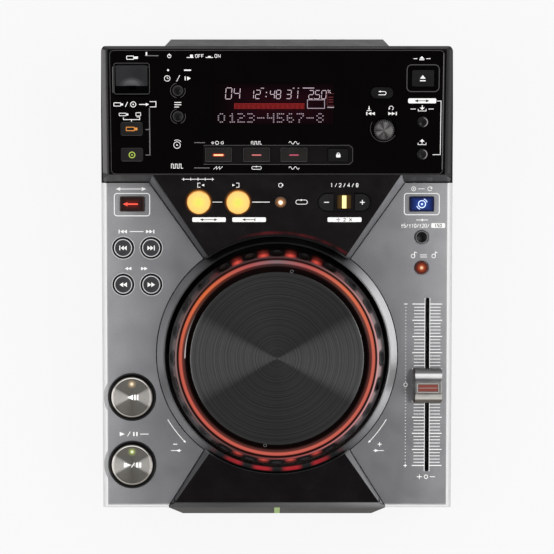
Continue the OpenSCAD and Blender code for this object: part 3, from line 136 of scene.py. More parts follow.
class Finish:
    """A Principled material with detail in the object's own space"""

    def __init__(self, name, color, rough, metallic=0.0, **sockets):
        self.mat = bpy.data.materials.new(name)
        self.mat.use_nodes = True
        self.tree = self.mat.node_tree
        self.shader = next(n for n in self.tree.nodes if n.type == "BSDF_PRINCIPLED")
        self.color, self.rough = color, rough
        self.put("Base Color", color)
        self.put("Roughness", rough)
        self.put("Metallic", metallic)
        for key, value in sockets.items():
            self.put(key.replace("_", " "), value)
        self.coords = self.add("TexCoord", {})["Object"]

    def put(self, key, value):
        feed(self.tree, self.shader.inputs[key], value)

    def add(self, kind, inputs, **settings):
        return add_node(self.tree, kind, inputs, **settings)

    def noise(self, scale, detail=3.0):
        return self.add("TexNoise", {"Vector": self.coords, "Scale": scale, "Detail": detail})["Fac"]

    def op(self, kind, *values):
        return self.add("Math", dict(enumerate(values)), operation=kind)[0]

    def ramp(self, fac, *stops):
        return add_ramp(self.tree, fac, stops)

    def mix(self, fac, a, b, blend="MIX"):
        return self.add("Mix", {"Factor": fac, 6: a, 7: b}, data_type="RGBA", blend_type=blend)[2]

    def span(self, value, low, high, out_low=0.0, out_high=1.0):
        """value mapped from low..high to out_low..out_high, held at the ends"""
        return self.add("MapRange", {"Value": value, "From Min": low, "From Max": high,
                                     "To Min": out_low, "To Max": out_high})["Result"]

    def local(self, plane, x=0.0, v=0.0):
        """x, v and n in mm on a plane, from the point (x, v)"""
        place = self.add("VectorMath", {0: self.coords, 1: plane.at(x, v)}, operation="SUBTRACT")[0]
        place = self.add("VectorRotate", {"Vector": place, "Angle": -plane.tilt},
                         rotation_type="X_AXIS")[0]
        place = self.add("VectorMath", {0: place, "Scale": 1 / MM}, operation="SCALE")[0]
        return self.add("SeparateXYZ", {0: place})

    def square(self, value):
        return self.op("MULTIPLY", value, value)

    def radius(self, plane, x=0.0, v=0.0):
        """Distance in mm from (x, v)"""
        a, b, _ = self.local(plane, x, v)
        return self.op("SQRT", self.op("ADD", self.square(a), self.square(b)))

    def turn(self, plane, x=0.0, v=0.0):
        """Angle about (x, v), 0 at the left, 0.25 at the front, 0.5 right, 0.75 rear"""
        a, b, _ = self.local(plane, x, v)
        return self.op("ADD", self.op("DIVIDE", self.op("ARCTAN2", b, a), 2 * math.pi), 0.5)

    def product(self, first, *others):
        for other in others:
            first = self.op("MULTIPLY", first, other)
        return first

    def band(self, value, middle, half, soft):
        """1 within half of the middle, falling to 0 over soft"""
        off = self.op("ABSOLUTE", self.op("SUBTRACT", value, middle))
        return self.span(off, half, half + soft, 1.0, 0.0)

    def teeth(self, turn, count, half, soft):
        """1 between the marks of a circle's equal parts, 0 at them"""
        part = self.op("FRACT", self.op("MULTIPLY", turn, count))
        return self.band(part, 0.5, half, soft)

    def nearest(self, plane, places):
        """Distance in mm to the nearest of some places"""
        first, *others = [self.radius(plane, x, v) for x, v in places]
        for other in others:
            first = self.op("MINIMUM", first, other)
        return first

    def reach(self, plane, place, width, depth):
        """0 in the middle of an oblong, 1 at its edges"""
        x, v, _ = self.local(plane, *place)
        return self.op("MAXIMUM", self.op("DIVIDE", self.op("ABSOLUTE", x), width / 2),
                       self.op("DIVIDE", self.op("ABSOLUTE", v), depth / 2))

    def bow(self, plane, x=0.0, v=0.0):
        """1 at the left and right of (x, v), 0 in front of it and behind it"""
        fold = self.op("FRACT", self.op("MULTIPLY_ADD", self.turn(plane, x, v), 2.0, 0.5))
        off = self.op("MULTIPLY", self.op("ABSOLUTE", self.op("SUBTRACT", fold, 0.5)), 2.0)
        return self.ramp(off, (0.0, 1.0), (0.2, 0.92), (0.27, 0.75), (0.36, 0.12), (1.0, 0.0))

    def rings(self, plane, x, v, scale):
        """Uneven circles round (x, v)"""
        wobble = self.op("MULTIPLY", self.op("SUBTRACT", self.noise(30.0), 0.5), 0.8)
        way = self.op("ADD", self.radius(plane, x, v), wobble)
        return self.add("TexNoise", {"W": way, "Scale": scale, "Detail": 3.0},
                        noise_dimensions="1D")["Fac"]

    def relief(self, height, distance):
        bump = self.add("Bump", {"Strength": 1.0, "Distance": distance, "Height": height})
        self.put("Normal", bump["Normal"])
        return self

    def mottle(self, amount, scale=260.0, color=None, detail=3.0):
        """Colour that varies a little over the surface"""
        base = self.color if color is None else color
        fac = self.noise(scale, detail)
        if isinstance(base, bpy.types.NodeSocket):
            shade = self.ramp(fac, (0.25, 1.0 - amount), (0.75, 1.0 + amount))
            out = self.mix(1.0, base, shade, "MULTIPLY")
        else:
            out = self.ramp(fac, (0.25, rgba(base, 1 - amount)), (0.75, rgba(base, 1 + amount)))
        self.put("Base Color", out)
        return self

    def wear(self, amount=0.06, scale=90.0):
        """Roughness that changes a little over the surface"""
        self.put("Roughness", self.span(self.noise(scale, 4.0), 0.3, 0.7,
                                        max(0.02, self.rough - amount), self.rough + amount))
        return self

    def grain(self, scale, height):
        return self.relief(self.noise(scale, 2.0), height)

    def spin(self, amount):
        """Turned metal: highlights run across the rings"""
        self.put("Anisotropic", amount)
        self.put("Tangent", self.add("Tangent", {}, direction_type="RADIAL", axis="Z")["Tangent"])
        return self

    def glow(self, color, strength):
        self.put("Emission Color", color)
        self.put("Emission Strength", strength)
        return self

    def on(self, *names):
        for name in names:
            data = NODES[name].data
            data.materials.clear()
            data.materials.append(self.mat)
        return self


def plastic(name, color, rough, grain=700.0, height=0.000015, **more):
    """Moulded plastic with a fine grain"""
    return Finish(name, color, rough, **more).mottle(0.07).wear().grain(grain, height)


# silver paint full of metal flakes: it takes its light from the lamps overhead, and painted light
# and shade in its colour: a painted gradient lighter towards the sides, painted white highlights on
# the crowned bevels of its sides and on its front edge, glowing painted highlight rings round the
# search caps, painted shade in the gaps round them, and a painted shadow along its rear
silver = Finish("silver_paint", "#d6d6d8", 0.42, 1.0)
sx, sv, _ = silver.local(DECK)
front_edge_highlight = silver.op("LESS_THAN", sv, FRONT_V)
rear_shadow = silver.op("GREATER_THAN", sv, REAR_V)
far = silver.op("ABSOLUTE", sx)
# painted gradient, lighter towards the sides, and painted white highlights on the side bevels
tone = silver.ramp(silver.span(far, 50.0, SIDE_X), (0.0, "#aeaeb2"), (0.45, "#bebec2"),
                   (0.93, "#dadadd"), (0.945, "#fcfcfc"), (1.0, "#ffffff"))
to_cap = silver.nearest(DECK, SEARCH)
# painted highlight ring round each search cap; it also glows
collar_highlight = silver.band(to_cap, 7.0, 0.15, 0.2)
tone = silver.mix(collar_highlight, tone, "#ffffff")
# painted shade in the gap round each search cap
tone = silver.mix(silver.band(to_cap, 6.0, 0.72, 0.05), tone, "#080808")
# painted white highlight along the front edge
tone = silver.mix(front_edge_highlight, tone, "#ffffff")
# painted shadow along the rear, under the display unit
tone = silver.mix(rear_shadow, tone, "#0c0c0c")
silver.mottle(0.06, 1800.0, tone, 2.0)
silver.glow(silver.mix(collar_highlight, "#000000", "#a0a0a0"), 0.3)
silver.wear(0.03, 60.0).grain(2600.0, 0.000004)
silver.on("left_panel", "right_panel")

# grey centre frame, with painted light and shade: painted reflections on its bezel ring and jog well,
# light and dark in turn round the ring, and its strips painted darker on the left, lighter on the
# right and darker along the front
grey = Finish("grey_paint", "#78787a", 0.4, 0.8)
gx, gv, _ = grey.local(DECK)
around = grey.turn(DECK)
bezel_r = grey.radius(DECK)
# strips painted darker on the left and lighter on the right as painted light, darker along the front
strip_shading = grey.ramp(grey.span(gx, -80.0, 80.0), (0.0, "#5c5c5e"), (0.3, "#4c4c4e"), (0.7, "#78787a"),
                   (1.0, "#b4b4b6"))
strip_shading = grey.mix(grey.span(gv, FRONT_V - 4.2, FRONT_V + 0.8, 1.0, 0.0), strip_shading, "#5c5a58")
# painted reflections round the bezel ring: light at the sides, white at the right, dark front and
# rear
bezel = grey.ramp(around, (0.0, "#969698"), (0.12, "#969698"), (0.165, "#3c3c3e"),
                  (0.335, "#3c3c3e"), (0.39, "#a0a0a2"), (0.45, "#ffffff"), (0.59, "#ffffff"),
                  (0.645, "#78787a"), (0.67, "#302e2f"), (0.84, "#302e2f"), (0.88, "#78787a"),
                  (1.0, "#969698"))
in_ring = grey.op("LESS_THAN", bezel_r, BEZEL_R)
# painted reflections in the jog well: pale at the front, dark at the right, rear and left
well = grey.ramp(around, (0.0, "#3c3838"), (0.03, "#282424"), (0.1, "#605656"), (0.25, "#bea8a4"),
                 (0.36, "#aa9a96"), (0.44, "#242020"), (0.6, "#0a0606"), (1.0, "#0a0606"))
bezel = grey.mix(grey.op("LESS_THAN", bezel_r, WELL_R), bezel, well)
grey.mottle(0.06, 1500.0, grey.mix(in_ring, strip_shading, bezel), 2.0)
# red light of the jog wheel on the front of the bezel
patches = grey.product(grey.band(bezel_r, BEZEL_LIT_R, 0.9, 0.9),
                       grey.band(around, 0.25, 0.05, 0.05), grey.teeth(around, DIMPLES, 0.18, 0.2))
grey.glow(grey.mix(patches, "#000000", "#d21a28"), 0.55)
grey.wear(0.05).grain(2400.0, 0.000004)
grey.on("center_frame")

plastic("black_plastic", "#1a1a1b", 0.55, 900.0, 0.00003).on("base_pan")
plastic("foot_rubber", "#161515", 0.8, 1200.0, 0.00003).on("feet")
plastic("grey_black", "#1a1819", 0.4).on("button_rings")
plastic("rear_grey", "#484647", 0.42).on("rear_cover")

# display unit's case: a glossy black rim with painted light and shade on its bevels: the left bevel
# painted light grey, the right one painted dark with a fine painted highlight line, painted light
# lines and a light grey band along the rear edge, and the front bevel painted lighter to the left
shell = Finish("head_case_plastic", "#2c2b2c", 0.3, Specular_IOR_Level=0.15)
hx, hv, _ = shell.local(HEAD)
# left bevel painted light grey, right bevel painted dark with a fine painted highlight line
flank_shading = shell.ramp(shell.span(hx, -HEAD_X, HEAD_X), (0.0, "#787676"), (0.013, "#706e6e"),
                   (0.016, "#050404"), (0.984, "#050404"), (0.987, "#1c1b1b"), (0.993, "#424140"),
                   (1.0, "#1e1d1d"))
# painted highlight lines and a light grey band along the rear edge
back = shell.ramp(shell.span(hv, 76.0, 80.0), (0.0, "#050404"), (0.16, "#221f1f"), (0.3, "#060404"),
                  (0.66, "#060404"), (0.8, "#767474"), (1.0, "#605e5e"))
# front bevel painted lighter towards the left
brow_shading = shell.ramp(shell.span(hx, -HEAD_X, HEAD_X), (0.0, "#3a3839"), (0.3, "#222021"),
                  (0.7, "#1a1819"), (1.0, "#282627"))
painted_rim = shell.mix(shell.op("GREATER_THAN", hv, HEAD_V), flank_shading, back)
shell.mottle(0.06, 700.0, shell.mix(shell.op("LESS_THAN", hv, 0.3), painted_rim, brow_shading))
shell.wear().grain(700.0, 0.00001)
shell.on("head_case")

panel = Finish("gloss_black", "#060404", 0.05)
px, pv, _ = panel.local(HEAD)
strip = panel.product(panel.band(px, 0.6, 45.2, 0.3), panel.band(pv, 12.4, 5.7, 0.2))
panel.mottle(0.2, 40.0, panel.mix(strip, "#060404", "#1c1a1a")).wear(0.02, 30.0)
panel.on("display_panel")

# black plates, with painted light: the thin spill of the lit buttons and the jog wheel's red light,
# both painted on as glow
plates = Finish("satin_black", "#141011", 0.25)
plates.mottle(0.15, 900.0).wear(0.04).grain(1500.0, 0.000006)
# painted amber glow round the two loop buttons
to_loops = plates.nearest(RAMP, [(LOOP_IN_X, RAMP_ROW), (LOOP_OUT_X, RAMP_ROW)])
spill = plates.band(to_loops, 7.2, 0.3, 1.1)
spill_tone = plates.mix(spill, "#000000", "#78460c")
# painted red glow of the jog wheel's light on the plate behind the bezel
arc_r, arc_turn = plates.radius(DECK), plates.turn(DECK)
painted_red_glow = plates.product(plates.band(arc_r, RED_GLOW_R, 0.3, 1.0),
                       plates.band(arc_turn, 0.715, 0.05, 0.04),
                       plates.span(plates.noise(90.0), 0.35, 0.6))
plates.glow(plates.mix(painted_red_glow, spill_tone, "#600a14"), 0.6)
plates.on("center_plates")

# green light guide in the nose, amber window between the beat buttons
guide = Finish("light_guide", "#788c5a", 0.25)
_, guide_v, _ = guide.local(DECK)
front = guide.op("LESS_THAN", guide_v, 0.0)
guide.put("Base Color", guide.mix(front, "#342610", "#8ca564"))
wx, _, _ = guide.local(RAMP, BEAT_X)
warm = guide.ramp(guide.span(guide.op("ABSOLUTE", wx), 0.0, 4.2), (0.0, "#be8c3c"),
                  (0.4, "#6e4e1e"), (1.0, "#34240e"))
green_glow = guide.mix(guide.noise(400.0), "#6e8c46", "#aabe82")
guide.glow(guide.mix(front, warm, green_glow), 0.35)
guide.on("led_lenses")

# jog disc: turned rings, with a painted bow-tie highlight across them, and past its face a painted
# dark red shade of the groove, lit by the ring
disc = Finish("disc_metal", "#464747", 0.4, 0.9)
rings = disc.rings(DECK, 0.0, 0.0, 1.1)
# painted bow-tie highlight, light at the left and right
face = disc.mix(disc.bow(DECK), "#424242", "#747474")
face = disc.mix(1.0, face, disc.ramp(rings, (0.36, 0.76), (0.64, 1.22)), "MULTIPLY")
# painted shade of the groove, dark red, past the disc's face
face = disc.mix(disc.op("GREATER_THAN", disc.radius(DECK), DISC_R), face, "#140605")
disc.mottle(0.04, 700.0, face)
disc.relief(rings, 0.00002).spin(0.4)
disc.on("jog_disc")

# smoky dial with painted light and shade: painted shade in the black dimples, painted reflections
# on the paler tabs between them that change round the dial, a painted highlight along its crest, and
# painted red light on the tabs at the rear and the front; the whole painted tone glows, more at the
# top
dial = Finish("smoky_plastic", "#161011", 0.24, Specular_IOR_Level=0.2)
dial_r, dial_turn = dial.radius(DECK), dial.turn(DECK)
_, _, dial_n = dial.local(DECK)
step = dial.op("SUBTRACT", dial.op("FRACT", dial.op("MULTIPLY_ADD", dial_turn, DIMPLES, 0.5)), 0.5)
step = dial.op("MULTIPLY", step, 2 * math.pi / DIMPLES)
along = dial.op("MULTIPLY", dial_r, dial.op("SINE", step))
across = dial.op("SUBTRACT", dial.op("MULTIPLY", dial_r, dial.op("COSINE", step)), DIMPLE_R)
above = dial.op("SUBTRACT", dial_n, DIMPLE_N)
depth = dial.op("SQRT", dial.op("ADD", dial.op("ADD", dial.square(along), dial.square(across)),
                                dial.square(above)))
# painted shade in the dimples, paler tabs between them
tab = dial.product(dial.span(depth, DIMPLE_SIZE + 0.2, DIMPLE_SIZE + 1.2),
                   dial.band(dial_r, TAB_R, 0.9, 1.6))
# painted reflections on the tabs: red at the front and rear, pale at the right
tab_reflection = dial.ramp(dial_turn, (0.0, "#5c4e4e"), (0.14, "#463434"), (0.19, "#541014"),
                     (0.31, "#541014"), (0.36, "#5a3c3e"), (0.5, "#aa9696"), (0.60, "#746060"),
                     (0.67, "#501216"), (0.83, "#501216"), (0.88, "#3c2c2c"), (1.0, "#5c4e4e"))
lit_sides = dial.ramp(dial_turn, (0.165, 0.0), (0.19, 0.75), (0.31, 0.75), (0.335, 0.0),
                      (0.67, 0.0), (0.69, 1.0), (0.82, 1.0), (0.84, 0.0))
# painted red light on the tab tips at the front and rear
spots = dial.product(dial.teeth(dial_turn, DIMPLES, 0.03, 0.2), dial.band(dial_r, SPOT_R, 0.9, 1.4),
                     lit_sides)
# painted highlight along the crest
crest = dial.product(dial.band(dial_r, CREST_R, 0.25, 0.4), dial.span(dial_n, 19.5, 20.2))
crest_highlight_tone = dial.ramp(dial_turn, (0.0, "#8e706c"), (0.2, "#502c2a"), (0.3, "#a05050"),
                       (0.45, "#d79c9e"), (0.58, "#c48c88"), (0.7, "#503434"), (0.85, "#422828"),
                       (1.0, "#8e706c"))
lit_tone = dial.mix(spots, dial.mix(tab, "#0e0506", tab_reflection), "#e85446")
lit_tone = dial.mix(crest, lit_tone, crest_highlight_tone)
dial.mottle(0.15, 120.0, dial.mix(0.85, lit_tone, "#080505"))
# the painted tone glows, more towards the top
dial.glow(lit_tone, dial.span(dial_n, 17.0, 19.5, 0.1, 0.85))
dial.on("jog_dial")

ring = Finish("ring_light", "#be5a46", 0.3, Specular_IOR_Level=0.15)
ring_turn, ring_r = ring.turn(DECK), ring.radius(DECK)
ring_tone = ring.ramp(ring_turn, (0.0, "#ce6050"), (0.25, "#ce6254"), (0.5, "#cc6656"),
                      (0.62, "#e47452"), (0.70, "#ba5a58"), (0.75, "#867074"), (0.80, "#ba5856"),
                      (0.88, "#e47042"), (1.0, "#ce6050"))
slope = ring.ramp(ring.span(ring_r, RING_IN, RING_OUT), (0.0, 0.02), (0.10, 0.02), (0.18, 0.10),
                  (0.44, 0.17), (0.56, 0.9), (0.75, 1.0), (0.92, 0.85), (1.0, 0.3))
lit_ring = ring.mix(1.0, ring_tone, slope, "MULTIPLY")
# painted glint on the ring's inner edge, at the left towards the rear
glint = ring.product(ring.band(ring_r, RING_IN + 0.25, 0.15, 0.2), ring.span(ring_turn, 0.92, 0.99))
lit_ring = ring.mix(glint, lit_ring, "#c8bebe")
ring.mottle(0.04, 300.0, "#1e0a09")
ring.glow(lit_ring, 0.93)
ring.on("jog_light_ring")

Finish("turned_steel", "#969698", 0.3, 1.0).mottle(0.1, 500.0).wear().on(
    "jog_spindle", "jog_bearing", "select_shaft", "fader_frame", "drive_frame", "screws",
    "spindle_motor")
plastic("white_plastic", "#cdcdcb", 0.45).on("fader_carriage")

# fader knob: satin metal paint with painted bands of light and shade across its hollows, and its
# left flank painted dark as shade
knob = Finish("knob_grey", "#ceced0", 0.38, 1.0)
kx, kv, _ = knob.local(DECK)
painted_bands = knob.ramp(knob.span(kv, KNOB_FRONT_V, KNOB_REAR_V), (0.0, "#605c58"), (0.1, "#68625c"),
                  (0.14, "#d6d4cc"), (0.27, "#dedcd6"), (0.31, "#6e6660"), (0.35, "#bebcb8"),
                  (0.65, "#bebcba"), (0.68, "#8c8a8a"), (0.73, "#828082"), (0.76, "#ffffff"),
                  (0.85, "#ffffff"), (0.88, "#8c8a8c"), (0.97, "#807e80"), (1.0, "#464444"))
# left flank painted dark as shade
knob.mottle(0.06, 1500.0, knob.mix(knob.span(kx, 85.3, 85.9), "#342e2e", painted_bands))
knob.wear(0.05, 200.0).grain(2400.0, 0.000006)
knob.on("fader_knob")

# transport buttons: spun metal with a painted bow-tie highlight, a rim painted bright as a glowing
# highlight, and a lamp at the rear with a painted glow round it
for node, (x, v), dot in (("cue_button", CUE, "#ffd696"),
                          ("play_button", PLAY, "#cee860")):
    spun = Finish(node + "_metal", "#bebec0", 0.45, 1.0)
    # painted bow-tie highlight, light at the left and right
    face = spun.mix(spun.bow(DECK, x, v), "#7a7770", "#fcf8f2")
    # painted highlight on the rim, brightest at the rear; it also glows
    rim = spun.band(spun.radius(DECK, x, v), 11.95, 0.16, 0.2)
    painted_rim = spun.ramp(spun.turn(DECK, x, v), (0.0, "#c8c4be"), (0.3, "#96908a"),
                         (0.5, "#827c76"), (0.58, "#96908a"), (0.66, "#fffaf4"), (0.82, "#fffaf4"),
                         (0.9, "#bebab4"), (1.0, "#c8c4be"))
    spun.mottle(0.06, 900.0, face).relief(spun.rings(DECK, x, v, 4.0), 0.00001).spin(0.5)
    lamp_r = spun.radius(DECK, x, v + 8.3)
    # the lamp's dot, with a painted glow round it
    halo = spun.ramp(spun.span(lamp_r, 0.0, 3.0), (0.0, "#fffff4"), (0.18, "#fffff4"), (0.3, dot),
                     (0.45, rgba(dot, 0.3)), (1.0, "#000000"))
    spun.glow(spun.mix(rim, halo, painted_rim), 0.8)
    spun.on(node)


def edged(name, color, rim, plane, places, radius, *caps, lit_from=None):
    """A round cap with a painted highlight line that glows, or only to the right of lit_from"""
    f = Finish(name, color, 0.3, Specular_IOR_Level=0.3)
    line = f.band(f.nearest(plane, places), radius, 0.12, 0.2)
    if lit_from is not None:
        line = f.product(line, f.span(f.local(plane)[0], lit_from, lit_from + 2.0))
    f.mottle(0.07, 900.0, f.mix(line, color, rim)).wear().grain(1200.0, 0.000006)
    f.glow(f.mix(line, "#000000", rim), 0.4)
    f.on(*caps)


edged("mode_black", "#090808", "#3a3838", HEAD, MODES, 2.85, "time_mode_button", "text_mode_button")
edged("recall_black", "#171617", "#969494", HEAD, RECALLS, 2.7, "memory_button", "call_button",
      lit_from=RECALLS[0][0])
edged("range_black", "#0c0b0c", "#78787a", DECK, [TEMPO_RANGE], 3.6, "tempo_range_button")
edged("search_grey", "#464648", "#d7d7d9", DECK, SEARCH, 5.25, "track_back_button",
      "track_forward_button", "search_back_button", "search_forward_button")
for name, color, caps in (
        ("button_black", "#141415", ("back_button", "hold_button")),
        ("beat_black", "#222121", ("beat_minus_button", "beat_plus_button")),
        ("effect_grey", "#282524", ("effect_button_1", "effect_button_2", "effect_button_3")),
        ("source_grey", "#242222", ("usb_source_button", "disc_source_button")),
        ("eject_black", "#1c1b1c", ("eject_button",)),
        ("power_switch_black", "#181819", ("power_switch",))):
    plastic(name, color, 0.34, 1200.0, 0.000006, Specular_IOR_Level=0.3).on(*caps)

# lid over the USB port, with a painted sheen on its finger scoop
lid = Finish("lid_black", "#343436", 0.3, Specular_IOR_Level=0.4)
_, lid_v, _ = lid.local(HEAD)
painted_sheen = lid.product(lid.span(lid.radius(HEAD, *LID_SCOOP), 4.2, 9.3, 1.0, 0.0),
                    lid.span(lid_v, 54.0, 57.5))
lid.mottle(0.06, 900.0, lid.mix(painted_sheen, "#2e2e30", "#767678")).wear()
lid.on("usb_lid")

# select knob: turned metal, its top painted in light and dark sectors as painted highlights
turned = Finish("knob_black", "#3c3a3a", 0.42, 0.8)
highlight_fan = turned.ramp(turned.turn(HEAD, *SELECT), (0.0, "#3c3a3a"), (0.08, "#969492"),
                  (0.14, "#464444"), (0.24, "#787674"), (0.3, "#424040"), (0.42, "#9c9a98"),
                  (0.55, "#969492"), (0.62, "#504e4e"), (0.72, "#969494"), (0.8, "#403e3e"),
                  (0.9, "#8c8a8a"), (1.0, "#3c3a3a"))
knurl = turned.teeth(turned.turn(HEAD, *SELECT), 28.0, 0.2, 0.2)
side = turned.op("GREATER_THAN", turned.radius(HEAD, *SELECT), 5.2)
side_tone = turned.mix(knurl, "#121111", "#605e5e")
turned.mottle(0.1, 700.0, turned.mix(side, highlight_fan, side_tone)).wear()
turned.relief(turned.product(side, knurl), 0.0001)
turned.on("select_knob")

# a lamp behind a red-brown cap
tempo = Finish("tempo_lens", "#481a12", 0.3)
tempo_r = tempo.radius(DECK, *TEMPO_LAMP)
tempo_glow = tempo.ramp(tempo.span(tempo_r, 0.0, 4.0), (0.0, "#fff0dc"), (0.16, "#ffcea0"),
                        (0.34, "#b04a28"), (0.7, "#541c10"), (1.0, "#1a0a08"))
tempo.mottle(0.08, 500.0).wear().glow(tempo_glow, 0.85)
tempo.on("master_tempo_button")


def tile(name, node, place, base, strength, *stops):
    """A lit oblong cap that darkens towards its edges"""
    f = Finish(name, base, 0.28, Coat_Weight=0.4)
    tone = f.ramp(f.reach(DECK, place, *TILE), *stops)
    f.mottle(0.05, 300.0, tone)
    f.glow(tone, strength)
    f.on(node)


tile("jog_mode_lens", "jog_mode_button", JOG_MODE, "#1c3482", 0.3, (0.0, "#3c64be"),
     (0.4, "#223e8c"), (0.8, "#122058"), (1.0, "#080c28"))
tile("direction_lens", "direction_button", DIRECTION, "#1e100e", 0.5, (0.0, "#701812"),
     (0.4, "#46120e"), (0.7, "#22110f"), (0.9, "#180f0e"), (0.94, "#4a3430"), (1.0, "#0e0808"))


def lens(name, node, x, base, reach, strength, *stops):
    """A lit round cap on the ramp, a little uneven as a lamp behind plastic is"""
    f = Finish(name, base, 0.3, Coat_Weight=0.3)
    wobble = f.op("MULTIPLY_ADD", f.op("SUBTRACT", f.noise(180.0), 0.5), 1.2,
                  f.radius(RAMP, x, RAMP_ROW))
    tone = f.ramp(f.span(wobble, 0.0, reach), *stops)
    f.mottle(0.04, 400.0, tone)
    f.glow(tone, strength)
    f.on(node)


for node, x in (("loop_in_button", LOOP_IN_X), ("loop_out_button", LOOP_OUT_X)):
    lens(node + "_lens", node, x, "#dcaa50", 7.2, 0.58, (0.0, "#ced65c"), (0.3, "#ded064"),
         (0.6, "#f0c46c"), (0.93, "#f2bc68"), (1.0, "#b47430"))
lens("reloop_lens", "reloop_button", RELOOP_X, "#3c281c", 3.6, 0.8, (0.0, "#fffff5"),
     (0.26, "#fff4d7"), (0.42, "#96643c"), (0.8, "#4a3424"), (1.0, "#281a12"))

# display glass with the dark red of its lit background
glass = Finish("display_dark", "#060304", 0.06)
haze = glass.ramp(glass.reach(HEAD, GLASS, *GLASS_SIZE), (0.0, "#22040a"), (0.6, "#140308"),
                  (1.0, "#020000"))
glass.mottle(0.1, 60.0)
glass.glow(haze, 1.0)
glass.on("display_module")

plastic("board_green", "#1a4228", 0.5).on("circuit_boards")
plastic("supply_parts", "#78683c", 0.5).on("power_supply")
plastic("pickup_grey", "#464648", 0.4).on("pickup", "loading_roller")
plastic("turntable_black", "#242424", 0.5).on("turntable")
# socket metal painted dark below 69 mm up the display plane, as painted shade in the well under the
# USB lid
socket = Finish("socket_metal", "#a5a096", 0.32, 0.9)
_, socket_v, _ = socket.local(HEAD)
socket.mottle(0.1, 500.0, socket.mix(socket.op("LESS_THAN", socket_v, 69.0),
                                     "#a5a096", "#161515"))
socket.wear().on("sockets")


def glowing_ink(name, color, strength):
    """Glowing ink or a lit segment that keeps its brightness in shade; on ink the glow is painted
    light
    """
    f = Finish(name, color, 0.4)
    f.mottle(0.05, 800.0)
    f.glow(f.mix(f.noise(900.0), rgba(color, 0.94), color), strength)
    return f


# the white, pale and line inks and the fader knob's inlay and stripe are ink: their glow is painted
# light
print_white = glowing_ink("print_white", "#ececea", 0.5)
print_and_highlight_grey = Finish("print_and_highlight_grey", "#808080", 0.5).mottle(0.04, 1500.0).wear()
print_dark = Finish("print_dark", "#181616", 0.5).mottle(0.05, 1500.0).wear()
print_pale = glowing_ink("print_pale", "#bab8b0", 0.4)
print_and_highlight_lines = glowing_ink("print_and_highlight_lines", "#4a4848", 0.3)
lit_pale = glowing_ink("digits_pale", "#beacb4", 0.8)
lit_red = glowing_ink("digits_red", "#7c0e0e", 0.8)
lit_faint = glowing_ink("digits_faint", "#460e14", 0.7)
lit_pink = glowing_ink("digits_pink", "#968690", 0.7)
icon_red = glowing_ink("icon_red", "#f05442", 0.9)
icon_blue = glowing_ink("icon_blue", "#cedeff", 0.9)
icon_amber = glowing_ink("icon_amber", "#c47e34", 0.8)
icon_green = glowing_ink("icon_green", "#96aa46", 0.8)
icon_white = glowing_ink("icon_white", "#f0f0ee", 0.75)
led_orange = glowing_ink("led_orange", "#ffc48c", 1.0)
led_halo = glowing_ink("led_halo", "#a02816", 0.7)
led_pink = glowing_ink("led_pink", "#b46060", 0.8)
led_magenta = glowing_ink("led_magenta", "#9c4256", 0.8)
bar_yellow = glowing_ink("bar_yellow", "#f0e296", 0.95)
knob_inlay = glowing_ink("knob_inlay", "#544a48", 0.2)
knob_stripe = glowing_ink("knob_stripe", "#803e36", 0.3)


# ---- flat marks ---------------------------------------------------------------------
def arc(x, v, r, a0, a1, steps):
    """Points from angle a0 to a1 about (x, v)"""
    angles = [math.radians(a0 + (a1 - a0) * i / steps) for i in range(steps + 1)]
    return [(x + r * math.cos(a), v + r * math.sin(a)) for a in angles]


def circle(x, v, r, steps):
    """Points all round (x, v), none of them twice"""
    return arc(x, v, r, 0, 360, steps)[:-1]


def rounded(x0, v0, x1, v1, r):
    """Points round a rectangle with its corners rounded to r"""
    return [p for x, v, a0 in ((x1 - r, v1 - r, 0), (x0 + r, v1 - r, 90),
                               (x0 + r, v0 + r, 180), (x1 - r, v0 + r, 270))
            for p in arc(x, v, r, a0, a0 + 90, 5)]


SEGMENTS = {"0": "abcdef", "1": "bc", "2": "abged", "3": "abgcd", "4": "fgbc", "5": "afgcd",
            "8": "abcdefg"}
SEGMENT_ENDS = {"a": ((0, 1), (1, 1)), "b": ((1, 1), (1, 0.5)), "c": ((1, 0.5), (1, 0)),
                "d": ((0, 0), (1, 0)), "e": ((0, 0.5), (0, 0)), "f": ((0, 1), (0, 0.5)),
                "g": ((0, 0.5), (1, 0.5))}
# strokes of the figures; p is the sign for plus or minus
GLYPHS = {
    "0": [[(0.2, 0), (0.8, 0), (1, 0.2), (1, 0.8), (0.8, 1), (0.2, 1), (0, 0.8), (0, 0.2), (0.2, 0)]],
    "1": [[(0.2, 0.8), (0.55, 1), (0.55, 0)]],
    "2": [[(0, 0.8), (0.2, 1), (0.8, 1), (1, 0.8), (1, 0.6), (0, 0), (1, 0)]],
    "4": [[(0.8, 0), (0.8, 1), (0, 0.3), (1, 0.3)]],
    "5": [[(0.95, 1), (0.1, 1), (0, 0.55), (0.7, 0.6), (1, 0.4), (1, 0.2), (0.8, 0), (0, 0.05)]],
    "8": [[(0.2, 0.5), (0, 0.7), (0.2, 1), (0.8, 1), (1, 0.7), (0.8, 0.5), (0.2, 0.5),
           (0, 0.3), (0.2, 0), (0.8, 0), (1, 0.3), (0.8, 0.5)]],
    "F": [[(0, 0), (0, 1), (1, 1)], [(0, 0.5), (0.8, 0.5)]],
    "N": [[(0, 0), (0, 1), (1, 0), (1, 1)]],
    "p": [[(0.5, 0.35), (0.5, 1)], [(0.1, 0.68), (0.9, 0.68)], [(0.1, 0.08), (0.9, 0.08)]],
    "/": [[(0.1, 0), (0.9, 1)]],
}
GLYPHS["O"] = GLYPHS["0"]


def add_object(name, bm, mat):
    """Object of a bmesh, in the scene"""
    mesh = bpy.data.meshes.new(name)
    bm.to_mesh(mesh)
    bm.free()
    mesh.materials.append(mat)
    obj = bpy.data.objects.new(name, mesh)
    bpy.context.scene.collection.objects.link(obj)
    return obj


